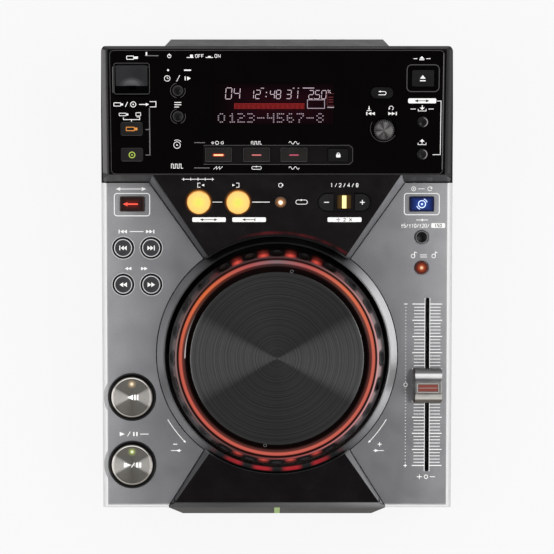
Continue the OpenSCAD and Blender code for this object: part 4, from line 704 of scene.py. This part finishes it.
class Ink:
    """Thin marks on a plane, gathered in one mesh that rides on one body."""

    SUNK, RISE = 0.03, 0.05

    def __init__(self, name, plane, finish, body="case", slot=None, base=0.0):
        self.name, self.plane, self.finish = name, plane, finish
        self.body, self.slot = body, slot
        self.low, self.high = base - self.SUNK, base + self.RISE
        self.bm = bmesh.new()

    def vert(self, point, n):
        return self.bm.verts.new(self.plane.at(*point, n))

    def fill(self, points):
        """Flat piece with this outline"""
        top = [self.vert(p, self.high) for p in points]
        low = [self.vert(p, self.low) for p in points]
        self.bm.faces.new(top)
        self.bm.faces.new(low[::-1])
        for i in range(len(points)):
            j = (i + 1) % len(points)
            self.bm.faces.new((low[i], low[j], top[j], top[i]))
        return self

    def band(self, left, right, closed):
        """Strip between two lines with the same number of points"""
        rows = [[self.vert(p, n) for p in line] for line, n in
                ((left, self.high), (right, self.high), (right, self.low), (left, self.low))]
        count = len(left)
        for i in range(count if closed else count - 1):
            j = (i + 1) % count
            for a, b in ((0, 1), (1, 2), (2, 3), (3, 0)):
                self.bm.faces.new((rows[a][i], rows[b][i], rows[b][j], rows[a][j]))
        if not closed:
            self.bm.faces.new([rows[k][0] for k in (3, 2, 1, 0)])
            self.bm.faces.new([rows[k][-1] for k in (0, 1, 2, 3)])
        return self

    def stroke(self, points, w):
        """Line of width w, mitred where it turns"""
        ways = []
        for a, b in zip(points, points[1:]):
            d = math.hypot(b[0] - a[0], b[1] - a[1]) or 1.0
            ways.append(((b[0] - a[0]) / d, (b[1] - a[1]) / d))
        left, right = [], []
        for (x, v), before, after, way in zip(points, [(0, 0)] + ways, ways + [(0, 0)],
                                              ways[:1] + ways):
            tx, tv = before[0] + after[0], before[1] + after[1]
            size = math.hypot(tx, tv) or 1.0
            tx, tv = tx / size, tv / size
            k = w / 2 / max(0.5, abs(tx * way[0] + tv * way[1]))
            left.append((x - tv * k, v + tx * k))
            right.append((x + tv * k, v - tx * k))
        return self.band(left, right, False)

    def line(self, x0, v0, x1, v1, w):
        return self.stroke([(x0, v0), (x1, v1)], w)

    def dash(self, x0, x1, v, w):
        return self.line(x0, v, x1, v, w)

    def plus(self, x, v, r, w):
        return self.dash(x - r, x + r, v, w).line(x, v - r, x, v + r, w)

    def rect(self, x0, v0, x1, v1):
        return self.fill([(x0, v0), (x1, v0), (x1, v1), (x0, v1)])

    def pill(self, x0, v0, x1, v1, r):
        return self.fill(rounded(x0, v0, x1, v1, r))

    def outline(self, x0, v0, x1, v1, r, w):
        return self.band(rounded(x0, v0, x1, v1, r),
                         rounded(x0 + w, v0 + w, x1 - w, v1 - w, r - w), True)

    def ring(self, x, v, r, w, steps=36):
        return self.band(circle(x, v, r + w / 2, steps), circle(x, v, r - w / 2, steps), True)

    def dot(self, x, v, r, steps=20):
        return self.fill(circle(x, v, r, steps))

    def head(self, x, v, size, angle):
        """Arrow head with its tip towards angle"""
        a = math.radians(angle)
        return self.fill([(x + size * math.cos(a + t) * k, v + size * math.sin(a + t) * k)
                          for t, k in ((0, 1.0), (2.3, 0.95), (-2.3, 0.95))])

    def tri(self, x, v, w, h, way=1):
        return self.fill([(x - way * w / 2, v - h / 2), (x + way * w / 2, v),
                          (x - way * w / 2, v + h / 2)])

    def skip(self, x, v, w, h, way, bar=True):
        """Double triangle, with a bar at its tip"""
        t = w * (0.4 if bar else 0.5)
        for k in (0.5, 1.5):
            self.tri(x - way * (w / 2 - t * k), v, t, h, way)
        if bar:
            tip, heel = x + way * w / 2, x + way * w * 0.37
            self.rect(min(tip, heel), v - h / 2, max(tip, heel), v + h / 2)
        return self

    def wave(self, x, v, w, h, kind, pen=0.3):
        """Three square or saw teeth, or two sine waves"""
        low, high, start = v - h / 2, v + h / 2, x - w / 2
        if kind == "sine":
            points = [(start + w * i / 16, v + h / 2 * math.sin(math.pi * i / 4)) for i in range(17)]
        elif kind == "square":
            points = [(start + w * (i + a) / 3, z) for i in range(3)
                      for a, z in ((0, low), (0, high), (0.5, high), (0.5, low))] + [(start + w, low)]
        else:
            points = [(start + w * (i + a) / 3, z) for i in range(3)
                      for a, z in ((0, low), (0.98, high))]
        return self.stroke(points, pen)

    def loop(self, x, v, w, h, pen=0.35):
        """Round-cornered loop with an arrow head on it"""
        self.outline(x - w / 2, v - h / 2, x + w / 2, v + h / 2, h / 2 - 0.02, pen)
        return self.head(x - w * 0.05, v + h / 2 - pen / 2, pen * 2.4, 180)

    def write(self, text, x, v, h, w, pitch, pen):
        """Plain strokes, centred on (x, v)"""
        start = x - (len(text) - 1) * pitch / 2 - w / 2
        for i, ch in enumerate(text):
            for line in GLYPHS[ch]:
                self.stroke([(start + i * pitch + px * w, v - h / 2 + pv * h)
                             for px, pv in line], pen)
        return self

    def digits(self, text, x0, x1, v0, v1, pen):
        """Seven-segment digits that fill a box"""
        space, slant, gap_x, gap_v = 0.42, 0.08, 0.09, 0.108
        w = (x1 - x0) / (len(text) + (len(text) - 1) * space)
        h = v1 - v0
        for i, ch in enumerate(text):
            for (ax, av), (bx, bv) in (SEGMENT_ENDS[seg] for seg in SEGMENTS[ch]):
                dx, dv = (bx - ax) * gap_x, (bv - av) * gap_v
                self.stroke([(x0 + (i * (1 + space) + px) * w + pv * h * slant, v0 + pv * h)
                             for px, pv in ((ax + dx, av + dv), (bx - dx, bv - dv))], pen)
        return self

    def done(self):
        """Make the piece"""
        bmesh.ops.recalc_face_normals(self.bm, faces=self.bm.faces)
        obj = add_object(self.name, self.bm, self.finish.mat)
        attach(obj, self.body)


# ---- marks on the deck --------------------------------------------------------------
deck = Ink("deck_marks", DECK, print_white)
# frames round the two lit tiles, and over them an arrow both ways and a disc that turns
deck.outline(-101.0, 86.2, -78.6, 100.6, 2.0, 0.5).outline(78.6, 86.9, 100.75, 100.6, 2.0, 0.5)
deck.tri(-98.4, 103.1, 2.8, 2.2, -1).dash(-97.0, -84.0, 103.1, 0.45).tri(-82.4, 103.1, 2.8, 2.2)
deck.ring(84.6, 103.2, 1.25, 0.4).dot(84.6, 103.2, 0.45).dash(87.4, 91.4, 103.2, 0.4)
deck.stroke(arc(94.6, 103.2, 1.25, 30, 330, 16), 0.4).head(95.7, 103.8, 0.9, 80)
# over the track and search buttons
deck.skip(-95.6, 76.7, 5.2, 2.3, -1).dash(-91.4, -82.8, 76.7, 0.45).skip(-78.6, 76.7, 5.2, 2.3, 1)
deck.skip(-92.4, 53.7, 4.0, 2.2, -1, False).skip(-82.4, 53.7, 4.0, 2.2, 1, False)
# play and pause over their button, and a line over the tempo range
deck.tri(-96.6, -49.9, 3.2, 2.8).line(-93.4, -51.4, -91.6, -48.4, 0.4)
deck.rect(-89.8, -51.2, -88.9, -48.6).rect(-87.9, -51.2, -87.0, -48.6)
deck.dash(-85.4, -80.2, -49.9, 0.45).dash(86.2, 93.6, 83.9, 0.4).rect(89.6, 83.2, 90.4, 84.6)
# arrows and curves in front of the jog wheel, with minus and plus
for x, way in ((-63.2, -1), (63.6, 1)):
    deck.tri(x - way * 1.4, -60.3, 2.2, 2.0, way).dash(x - way * 3.4, x + way * 3.0, -60.3, 0.4)
    start, end = [math.degrees(math.atan2(v, way * x)) for x, v in (CURVE_FROM, CURVE_TO)]
    curve = arc(0, 0, CURVE_R, start, end, 10)
    deck.stroke(curve, 0.45).head(*curve[-1], 1.0, 270 - 45 * way)
deck.dash(-64.9, -62.3, -56.3, 0.5).plus(64.1, -56.3, 1.3, 0.5)
# tempo scale: ticks on both sides of the slot, dots beside them, lines along the slot
for i in range(SCALE_PARTS + 1):
    v = SCALE_TOP - i * (SCALE_TOP - SCALE_END) / SCALE_PARTS
    x0, x1, pen = (84.2, 102.7, 0.56) if i % 5 == 0 else (85.2, 101.7, 0.4)
    deck.dash(x0, FADER_SLOT_X[0] - 0.15, v, pen).dash(FADER_SLOT_X[1] + 0.15, x1, v, pen)
    if abs(v - SCALE_ZERO) > 1.5:
        deck.rect(SCALE_DOT_X - 0.3, v - 0.2, SCALE_DOT_X + 0.3, v + 0.2)
for x in FADER_SLOT_X:
    deck.line(x, FADER_SLOT_V[0], x, FADER_SLOT_V[1], 0.32)
deck.dash(SCALE_DOT_X - 1.1, SCALE_DOT_X + 1.1, SCALE_TOP, 0.45)
deck.ring(SCALE_DOT_X, SCALE_ZERO, 1.1, 0.35, 20).plus(SCALE_DOT_X, SCALE_END, 1.1, 0.45)
deck.dash(87.4, 90.6, -76.8, 0.45).dash(95.6, 98.8, -76.8, 0.45)
deck.ring(93.1, -76.8, 1.1, 0.45, 24).line(89.0, -78.2, 89.0, -75.4, 0.4)
# range of the fader, printed over its button, and two notes beside the tempo lamp
deck.write("p5/p10/p20/", 85.6, 80.3, 2.1, 1.1, 1.62, 0.36).pill(95.6, 79.0, 104.2, 81.9, 0.6)
for x in (84.4, 97.2):
    stem = x + 0.95
    deck.ring(x, 61.5, 1.15, 0.4, 20).line(stem, 61.5, stem, 64.2, 0.4)
    deck.line(stem, 64.1, stem + 1.45, 63.5, 0.4)
deck.dash(88.8, 93.0, 62.2, 0.4).dash(88.8, 93.0, 60.9, 0.4).done()
dark = Ink("deck_dark_marks", DECK, print_dark, base=0.05)
dark.write("p50", 99.9, 80.45, 1.8, 1.0, 1.6, 0.32).done()

# ---- marks on the ramp --------------------------------------------------------------
SIGN_V, PILL_V = -6.3, -27.95
ramp = Ink("ramp_marks", RAMP, print_white)
# pills in front of the buttons, signs and numbers behind them
ramp.dash(-39.6, -33.6, RAMP_ROW, 0.35).dash(-15.2, -4.4, RAMP_ROW, 0.45)
for x0, x1 in ((-52.1, -31.5), (-27.5, -6.8), (31.1, 52.0)):
    ramp.pill(x0, -29.4, x1, -26.5, 0.7)
ramp.loop(15.1, RAMP_ROW, 7.4, 3.0).dash(-58.2, -38.6, -2.6, 0.35)
for i in range(5):
    x = -57.2 + 4.4 * i
    ramp.line(x, -3.5, x, -1.7, 0.35)
for x, tip, way in ((-46.9, -45.4, -1), (-25.0, -26.6, 1)):
    end = x + way * 1.7
    ramp.stroke([(x, -5.0), (end, -5.0), (end, -7.6), (x, -7.6)], 0.35)
    ramp.tri(tip, SIGN_V, 1.6, 1.6, way)
ramp.ring(RELOOP_X, SIGN_V, 1.25, 0.35, 24).head(3.4, -6.1, 0.8, 90)
ramp.write("1/2/4/8", BEAT_X, SIGN_V, 2.2, 1.25, 2.6, 0.36).done()
dark = Ink("ramp_dark_marks", RAMP, print_dark, base=0.05)
dark.tri(-46.4, PILL_V, 1.9, 1.7, -1).dash(-45.4, -38.6, PILL_V, 0.4).tri(-37.6, PILL_V, 1.9, 1.7)
dark.tri(-20.4, PILL_V, 1.9, 1.7, -1).dash(-20.6, -14.0, PILL_V, 0.4)
dark.rect(-13.9, -28.8, -13.3, -27.1).dash(36.6, 38.8, PILL_V, 0.4)
dark.dot(37.7, -27.1, 0.3, 10).dot(37.7, -28.8, 0.3, 10)
dark.write("2", 41.5, PILL_V, 1.9, 1.2, 1.5, 0.36)
dark.line(44.4, -28.8, 46.0, -27.1, 0.36).line(44.4, -27.1, 46.0, -28.8, 0.36).done()
bar = Ink("beat_bar", RAMP, bar_yellow, base=-0.4)
bar.rect(BEAT_X - 1.3, RAMP_ROW - 4.0, BEAT_X + 1.3, RAMP_ROW + 4.0).done()

# ---- marks on the display unit ------------------------------------------------------
left_x, middle_x, right_x = EFFECTS_X
head = Ink("head_marks", HEAD, print_white)
head.line(-79.0, 75.3, -79.0, 73.0, 0.9)
head.ring(-65.2, 72.9, 1.05, 0.35, 24).rect(-65.4, 72.9, -65.0, 74.4)
head.dash(-54.7, -50.5, 72.0, 0.4).rect(-52.6, 72.1, -50.9, 73.7)
head.write("OFF", -46.9, 72.9, 1.9, 1.2, 1.85, 0.3)
head.dash(-43.2, -38.7, 72.0, 0.4).rect(-41.8, 72.1, -40.1, 72.9)
head.write("ON", -36.0, 72.9, 1.9, 1.3, 2.0, 0.3)
# signs of the two mode buttons
head.dot(-66.0, 64.3, 0.6).rect(-56.3, 63.9, -52.1, 64.7).ring(-66.6, 59.3, 1.7, 0.35, 28)
head.line(-66.6, 59.3, -66.6, 60.5, 0.3).dash(-66.6, -65.7, 59.3, 0.3)
head.line(-60.9, 57.4, -58.9, 61.3, 0.35).tri(-53.4, 59.3, 2.2, 2.4).rect(-56.0, 58.1, -55.4, 60.5)
for v, x1 in ((44.6, -58.2), (43.2, -58.2), (41.8, -59.6)):
    head.dash(-62.4, x1, v, 0.45)
# sources: stick or disc with an arrow in, and a stick or a computer
head.outline(-99.4, 42.2, -94.9, 44.6, 0.4, 0.4).rect(-94.8, 42.8, -93.6, 44.0)
head.line(-92.2, 41.9, -90.8, 44.9, 0.4).ring(-87.4, 43.4, 1.6, 0.4, 26).dot(-87.4, 43.4, 0.45)
head.dash(-83.9, -79.4, 43.4, 0.45).tri(-78.8, 43.4, 1.9, 2.0)
head.stroke([(-77.4, 45.1), (-73.6, 45.1), (-73.6, 41.9), (-77.4, 41.9)], 0.4)
head.outline(-91.2, 70.7, -86.6, 73.1, 0.4, 0.4).rect(-86.5, 71.2, -84.2, 72.6)
head.dash(82.7, 85.0, 71.3, 0.4).dash(90.4, 92.9, 71.3, 0.4)
head.fill([(86.2, 71.3), (89.2, 71.3), (87.7, 72.8)]).rect(86.2, 70.4, 89.2, 70.9)
head.dash(81.2, 84.4, 40.6, 0.4).dash(92.2, 95.2, 40.6, 0.4)
head.outline(-96.2, 36.3, -91.6, 38.2, 0.4, 0.35).rect(-91.5, 36.7, -90.5, 37.8)
head.outline(-86.0, 36.2, -82.8, 38.5, 0.4, 0.35).dash(-85.4, -83.4, 35.7, 0.35)
head.stroke([(-93.5, 35.4), (-93.5, 34.1), (-83.6, 34.1), (-83.6, 35.4)], 0.4)
head.line(-88.6, 34.1, -88.6, 32.9, 0.5)
# effects: what each does, above and below its button
for dx, r in ((-3.2, 0.6), (-0.6, 1.0), (2.6, 0.75)):
    head.ring(left_x - 0.3 + dx, 19.8, r, 0.3, 18)
head.wave(middle_x, 19.8, 6.4, 1.7, "square").wave(right_x, 19.8, 6.4, 1.7, "sine")
head.wave(left_x - 0.3, 4.3, 5.6, 1.7, "saw").loop(middle_x, 4.3, 6.2, 2.0, 0.3)
head.wave(right_x, 4.3, 6.4, 1.7, "sine")
head.ring(-61.0, 18.4, 2.0, 0.35, 28).dot(-61.0, 18.4, 0.45)
head.stroke(arc(-61.0, 18.4, 3.2, 40, 120, 8), 0.35).wave(-61.0, 5.4, 7.2, 2.6, "square", 0.35)
# select knob, back, memory and call
head.skip(56.9, 37.8, 5.2, 2.0, -1).skip(70.3, 37.8, 5.2, 2.0, 1)
head.line(56.0, 42.3, 56.0, 40.6, 0.45).head(56.0, 40.6, 0.9, 270).dash(54.6, 57.4, 39.6, 0.35)
head.stroke(arc(69.4, 41.1, 1.3, -60, 200, 12), 0.35).head(68.2, 40.7, 0.8, 250)
head.pill(79.7, 44.1, 96.8, 47.1, 0.9)
head.fill([(86.8, 41.5), (89.8, 41.5), (88.3, 40.0)]).line(88.3, 41.4, 88.3, 42.8, 0.45)
head.stroke([(85.9, 40.6), (85.9, 39.4), (90.7, 39.4), (90.7, 40.6)], 0.35)
head.fill([(87.0, 20.6), (90.0, 20.6), (88.5, 22.1)]).line(88.5, 20.7, 88.5, 19.3, 0.45)
head.stroke([(86.1, 19.9), (86.1, 18.7), (90.9, 18.7), (90.9, 19.9)], 0.35)
head.stroke([(97.4, 45.5), (99.7, 45.5), (99.7, 12.5), (95.0, 12.5)], 0.36).done()

lines = Ink("head_lines", HEAD, print_and_highlight_grey)
lines.dash(-79.3, -71.7, 73.1, 0.5).line(-77.6, 41.0, -77.6, 12.1, 0.55)
lines.dash(-80.1, -77.6, 28.0, 0.5).dash(-80.3, -77.6, 12.3, 0.5)
lines.dash(-50.5, -43.9, 19.9, 0.45).dash(-50.7, -41.2, 4.3, 0.45)
# the line at x 100.9 is a painted highlight along the right edge of the glossy panel
lines.line(-99.6, 50.5, -99.6, 66.5, 0.3).line(100.9, 3.4, 100.9, 74.6, 0.3).done()
lines = Ink("head_thin_lines", HEAD, print_and_highlight_lines)
# painted highlights along the edges of the eject well and of the glossy panel
lines.outline(78.6, 51.0, 98.6, 67.8, 3.0, 0.5).outline(-101.4, 0.4, 101.4, 76.4, 2.8, 0.25)
lines.outline(-99.0, 49.6, -77.2, 68.7, 1.6, 0.3)
# painted glints on arcs round the two mode buttons
for x, v in MODES:
    lines.stroke(arc(x, v, 4.5, 100, 260, 14), 0.3).stroke(arc(x, v, 4.5, -70, 20, 10), 0.3)
for x in EFFECTS_X:
    lines.outline(x - 8.1, 8.1, x + 8.1, 16.7, 0.8, 0.25)
for v in SOURCES_V:
    lines.outline(-95.0, v - 4.1, -82.2, v + 4.1, 0.9, 0.25)
lines.stroke([(-44.9, 6.5), (44.2, 6.5), (46.2, 8.4), (46.2, 16.4), (44.2, 18.3), (-44.9, 18.3)], 0.3)
lines.stroke(arc(*SELECT, 8.1, 150, 330, 24), 0.3).done()
dark = Ink("head_dark_marks", HEAD, print_dark, base=0.05)
dark.tri(84.6, 45.6, 2.2, 1.9, -1).dash(85.6, 90.6, 45.6, 0.45).tri(91.6, 45.6, 2.2, 1.9).done()


# ---- lit marks on the display glass -------------------------------------------------
def shown(name, finish):
    """Lit marks on the display's glass"""
    return Ink(name, HEAD, finish, slot="display_dark", base=-0.15)


digits = shown("display_digits", lit_pale)
digits.digits("04", -31.4, -22.8, 46.7, 53.5, 0.36).digits("12", -17.2, -10.4, 46.9, 52.1, 0.34)
digits.rect(-6.7, 50.4, -6.1, 51.0).rect(-6.9, 47.9, -6.3, 48.5)
digits.digits("48", -4.3, 2.0, 46.9, 52.1, 0.34).digits("31", 5.6, 12.4, 46.9, 52.1, 0.34)
digits.digits("250", 19.2, 29.6, 46.8, 51.9, 0.32).rect(22.6, 46.7, 23.1, 47.2)
digits.line(30.9, 50.5, 32.3, 52.1, 0.3).dot(31.0, 52.0, 0.35, 8).dot(32.3, 50.6, 0.35, 8).done()
pink = shown("display_frame", lit_pink)
pink.outline(18.3, 40.8, 29.1, 46.4, 0.2, 0.4)
for x0, x1 in ((-9.8, -7.9), (9.6, 10.6), (12.6, 13.4)):
    pink.rect(x0, 53.0, x1, 53.6)
pink.rect(15.6, 53.1, 22.6, 53.7).rect(30.6, 41.3, 35.0, 41.9)
# numbers of dots, each row of four dots a hexadecimal digit
DOTS = {"0": "69996", "1": "26227", "2": "E168F", "3": "E161E", "4": "99F11", "5": "F8E1E",
        "6": "68E96", "7": "F1244", "8": "69696", "-": "00F00"}
for i, ch in enumerate("0123-4567-8"):
    for row, bits in enumerate(DOTS[ch]):
        for col in range(4):
            if int(bits, 16) >> (3 - col) & 1:
                x, v = -36.0 + i * 6.0 + col * 1.2, 37.6 - row * 1.25
                pink.rect(x, v - 0.3, x + 0.7, v + 0.3)
pink.done()
comb = shown("display_comb", lit_red)
for i in range(56):
    x = -26.0 + i * 0.766
    comb.rect(x, 40.6, x + 0.4, 43.3)
comb.rect(-26.0, 43.5, 16.7, 43.95).done()
meter = shown("display_meter", lit_faint)
meter.outline(30.3, 42.7, 35.1, 50.2, 0.2, 0.35)
for v in (44.4, 45.9, 47.4):
    meter.rect(31.2, v, 34.2, v + 0.7)
meter.done()


# ---- marks and lamps on the buttons -------------------------------------------------
def cap(node, name, plane, finish, top):
    """Marks that ride on a body whose top lies at this height over the plane"""
    return Ink(name, plane, finish, body=node, base=top)


x, v = DIRECTION
sign = cap("direction_button", "direction_sign", DECK, icon_red, 1.6)
sign.head(x - 3.9, v, 1.7, 180).dash(x - 3.7, x + 3.7, v, 0.8).done()
x, v = JOG_MODE
sign = cap("jog_mode_button", "jog_mode_sign", DECK, icon_blue, 1.6)
sign.ring(x, v, 2.2, 0.55).dot(x, v, 0.6)
sign.stroke(arc(x, v, 3.4, 20, 70, 6), 0.45).stroke(arc(x, v, 3.4, 200, 250, 6), 0.45).done()
for kind, v in (("track", TRACK_V), ("search", SEARCH_V)):
    for to, x, way in (("back", BACK_X, -1), ("forward", FORWARD_X, 1)):
        sign = cap(f"{kind}_{to}_button", f"{kind}_{to}_sign", DECK, print_white, 1.5)
        sign.skip(x, v, 4.6, 3.0, way, kind == "track").done()
# framed stripe on the fader knob, and two small marks in the jog disc's groove
sign = cap("tempo_fader", "fader_stripe", DECK, knob_inlay, 16.0)
sign.rect(86.6, -21.6, 99.9, -16.3).done()
sign = cap("tempo_fader", "fader_stripe_red", DECK, knob_stripe, 16.04)
sign.rect(87.3, -21.0, 99.0, -19.1).rect(87.3, -18.8, 99.0, -16.9).done()
sign = cap("tempo_fader", "fader_stripe_frame", DECK, print_pale, 16.08)
sign.outline(86.5, -21.7, 99.8, -16.2, 0.2, 0.32).dash(87.3, 99.0, -18.95, 0.18).done()
sign = cap("jog_wheel", "jog_marks", DECK, print_and_highlight_grey, 21.1)
for angle in (80.4, 262.2):
    sign.ring(*arc(0, 0, GROOVE_R, angle, angle, 1)[0], 0.9, 0.35, 20)
sign.done()
x, v = CUE
sign = cap("cue_button", "cue_sign", DECK, icon_white, 2.2)
sign.tri(x - 1.0, v, 3.6, 3.4, -1).rect(x + 1.5, v - 1.7, x + 2.4, v + 1.7)
sign.rect(x + 3.2, v - 1.7, x + 4.1, v + 1.7).done()
x, v = PLAY
sign = cap("play_button", "play_sign", DECK, icon_white, 2.2)
sign.tri(x - 3.0, v, 4.2, 3.2).line(x - 0.4, v - 1.5, x + 1.5, v + 1.5, 0.45)
sign.rect(x + 2.6, v - 1.5, x + 3.8, v + 1.5).rect(x + 4.5, v - 1.5, x + 5.7, v + 1.5).done()
sign = cap("beat_minus_button", "beat_minus_sign", RAMP, print_white, 0.6)
sign.dash(28.9, 31.9, RAMP_ROW, 0.5).done()
sign = cap("beat_plus_button", "beat_plus_sign", RAMP, print_white, 0.6)
sign.plus(52.4, RAMP_ROW, 1.5, 0.5).done()
sign = cap("usb_source_button", "stick_sign", HEAD, icon_amber, 0.9)
sign.outline(-92.0, 27.2, -86.6, 29.8, 0.5, 0.45).rect(-86.5, 27.7, -85.0, 29.3).done()
sign = cap("disc_source_button", "disc_sign", HEAD, icon_green, 0.9)
sign.ring(-88.5, SOURCES_V[1], 1.75, 0.55, 28).dot(-88.5, SOURCES_V[1], 0.5).done()
sign = cap("back_button", "back_sign", HEAD, print_white, 0.9)
sign.stroke([(61.6, 49.4), (65.2, 49.4), *arc(65.2, 50.4, 1.0, -90, 90, 8), (62.6, 51.4)], 0.4)
sign.head(62.4, 51.4, 0.9, 180).done()
sign = cap("hold_button", "hold_sign", HEAD, print_white, 0.9)
sign.rect(36.1, 11.0, 38.7, 12.8).stroke(arc(37.4, 12.9, 0.85, 0, 180, 8), 0.35).done()
sign = cap("eject_button", "eject_sign", HEAD, print_white, 0.4)
sign.fill([(86.7, 59.2), (90.1, 59.2), (88.4, 61.3)]).rect(86.7, 57.6, 90.1, 58.25).done()
# lamps of the effects; the first one is on, with a painted glow on its cap round it
for i, (x, finish) in enumerate(zip(EFFECTS_X, (led_orange, led_pink, led_magenta)), 1):
    button, top = f"effect_button_{i}", 0.9
    if i == 1:
        cap(button, "effect_halo", HEAD, led_halo, top).pill(x - 3.6, 11.5, x + 3.6, 13.3, 0.8).done()
        top = 0.95
    sign = cap(button, f"effect_lamp_{i}", HEAD, finish, top)
    sign.pill(x - 2.9, 12.0, x + 2.9, 12.8, 0.35).done()


# ---- floor, world, lights, camera ---------------------------------------------------
def floor():
    """White to the camera, a little darker to the light it sends back"""
    mat = bpy.data.materials.new("floor_white")
    mat.use_nodes = True
    tree = mat.node_tree
    tree.nodes.clear()
    diffuse = add_node(tree, "BsdfDiffuse", {"Color": (0.82, 0.82, 0.82, 1.0)})[0]
    white = add_node(tree, "Emission", {"Strength": 1.0})[0]
    to_camera = add_node(tree, "LightPath", {})["Is Camera Ray"]
    share = add_node(tree, "Math", {0: to_camera, 1: 0.88}, operation="MULTIPLY")[0]
    both = add_node(tree, "MixShader", {0: share, 1: diffuse, 2: white})[0]
    add_node(tree, "OutputMaterial", {"Surface": both})
    bm = bmesh.new()
    bmesh.ops.create_grid(bm, x_segments=1, y_segments=1, size=4.0)
    add_object("floor", bm, mat)


def world():
    """Black ceiling and pale walls, and plain white to the camera"""
    w = bpy.data.worlds.new("studio")
    bpy.context.scene.world = w
    w.use_nodes = True
    tree = w.node_tree
    way = add_node(tree, "TexCoord", {})["Generated"]
    up = add_node(tree, "SeparateXYZ", {0: way})["Z"]
    walls = add_ramp(tree, up, ((0.0, 0.9), (0.35, 1.0), (0.70, 0.92), (0.83, 0.06), (1.0, 0.015)))
    to_camera = add_node(tree, "LightPath", {})["Is Camera Ray"]
    tone = add_node(tree, "Mix", {"Factor": to_camera, 6: walls, 7: (1.0, 1.0, 1.0, 1.0)},
                    data_type="RGBA")[2]
    tree.links.new(tone, tree.nodes["Background"].inputs["Color"])


def lamp(name, place, target, size, power):
    data = bpy.data.lights.new(name, "AREA")
    data.shape = "RECTANGLE"
    data.size, data.size_y = size
    data.energy = power
    obj = bpy.data.objects.new(name, data)
    bpy.context.scene.collection.objects.link(obj)
    obj.location = place
    way = Vector(target) - Vector(place)
    obj.rotation_euler = way.to_track_quat("-Z", "Y").to_euler()


floor()
world()
lamp("lamp_right", (0.68, 0.06, 1.34), (0.03, 0, 0.06), (0.5, 0.35), 3.0)
lamp("lamp_left", (-0.72, -0.10, 1.30), (-0.03, 0, 0.06), (0.6, 0.4), 2.4)

camera = bpy.data.cameras.new("camera")
camera.lens = 149.85
camera.sensor_width = 36.0
camera.clip_end = 20.0
view = bpy.data.objects.new("camera", camera)
view.location = (0.0, -0.0014, 1.5)
bpy.context.scene.collection.objects.link(view)
bpy.context.scene.camera = view
bpy.context.scene.view_settings.view_transform = "Standard"
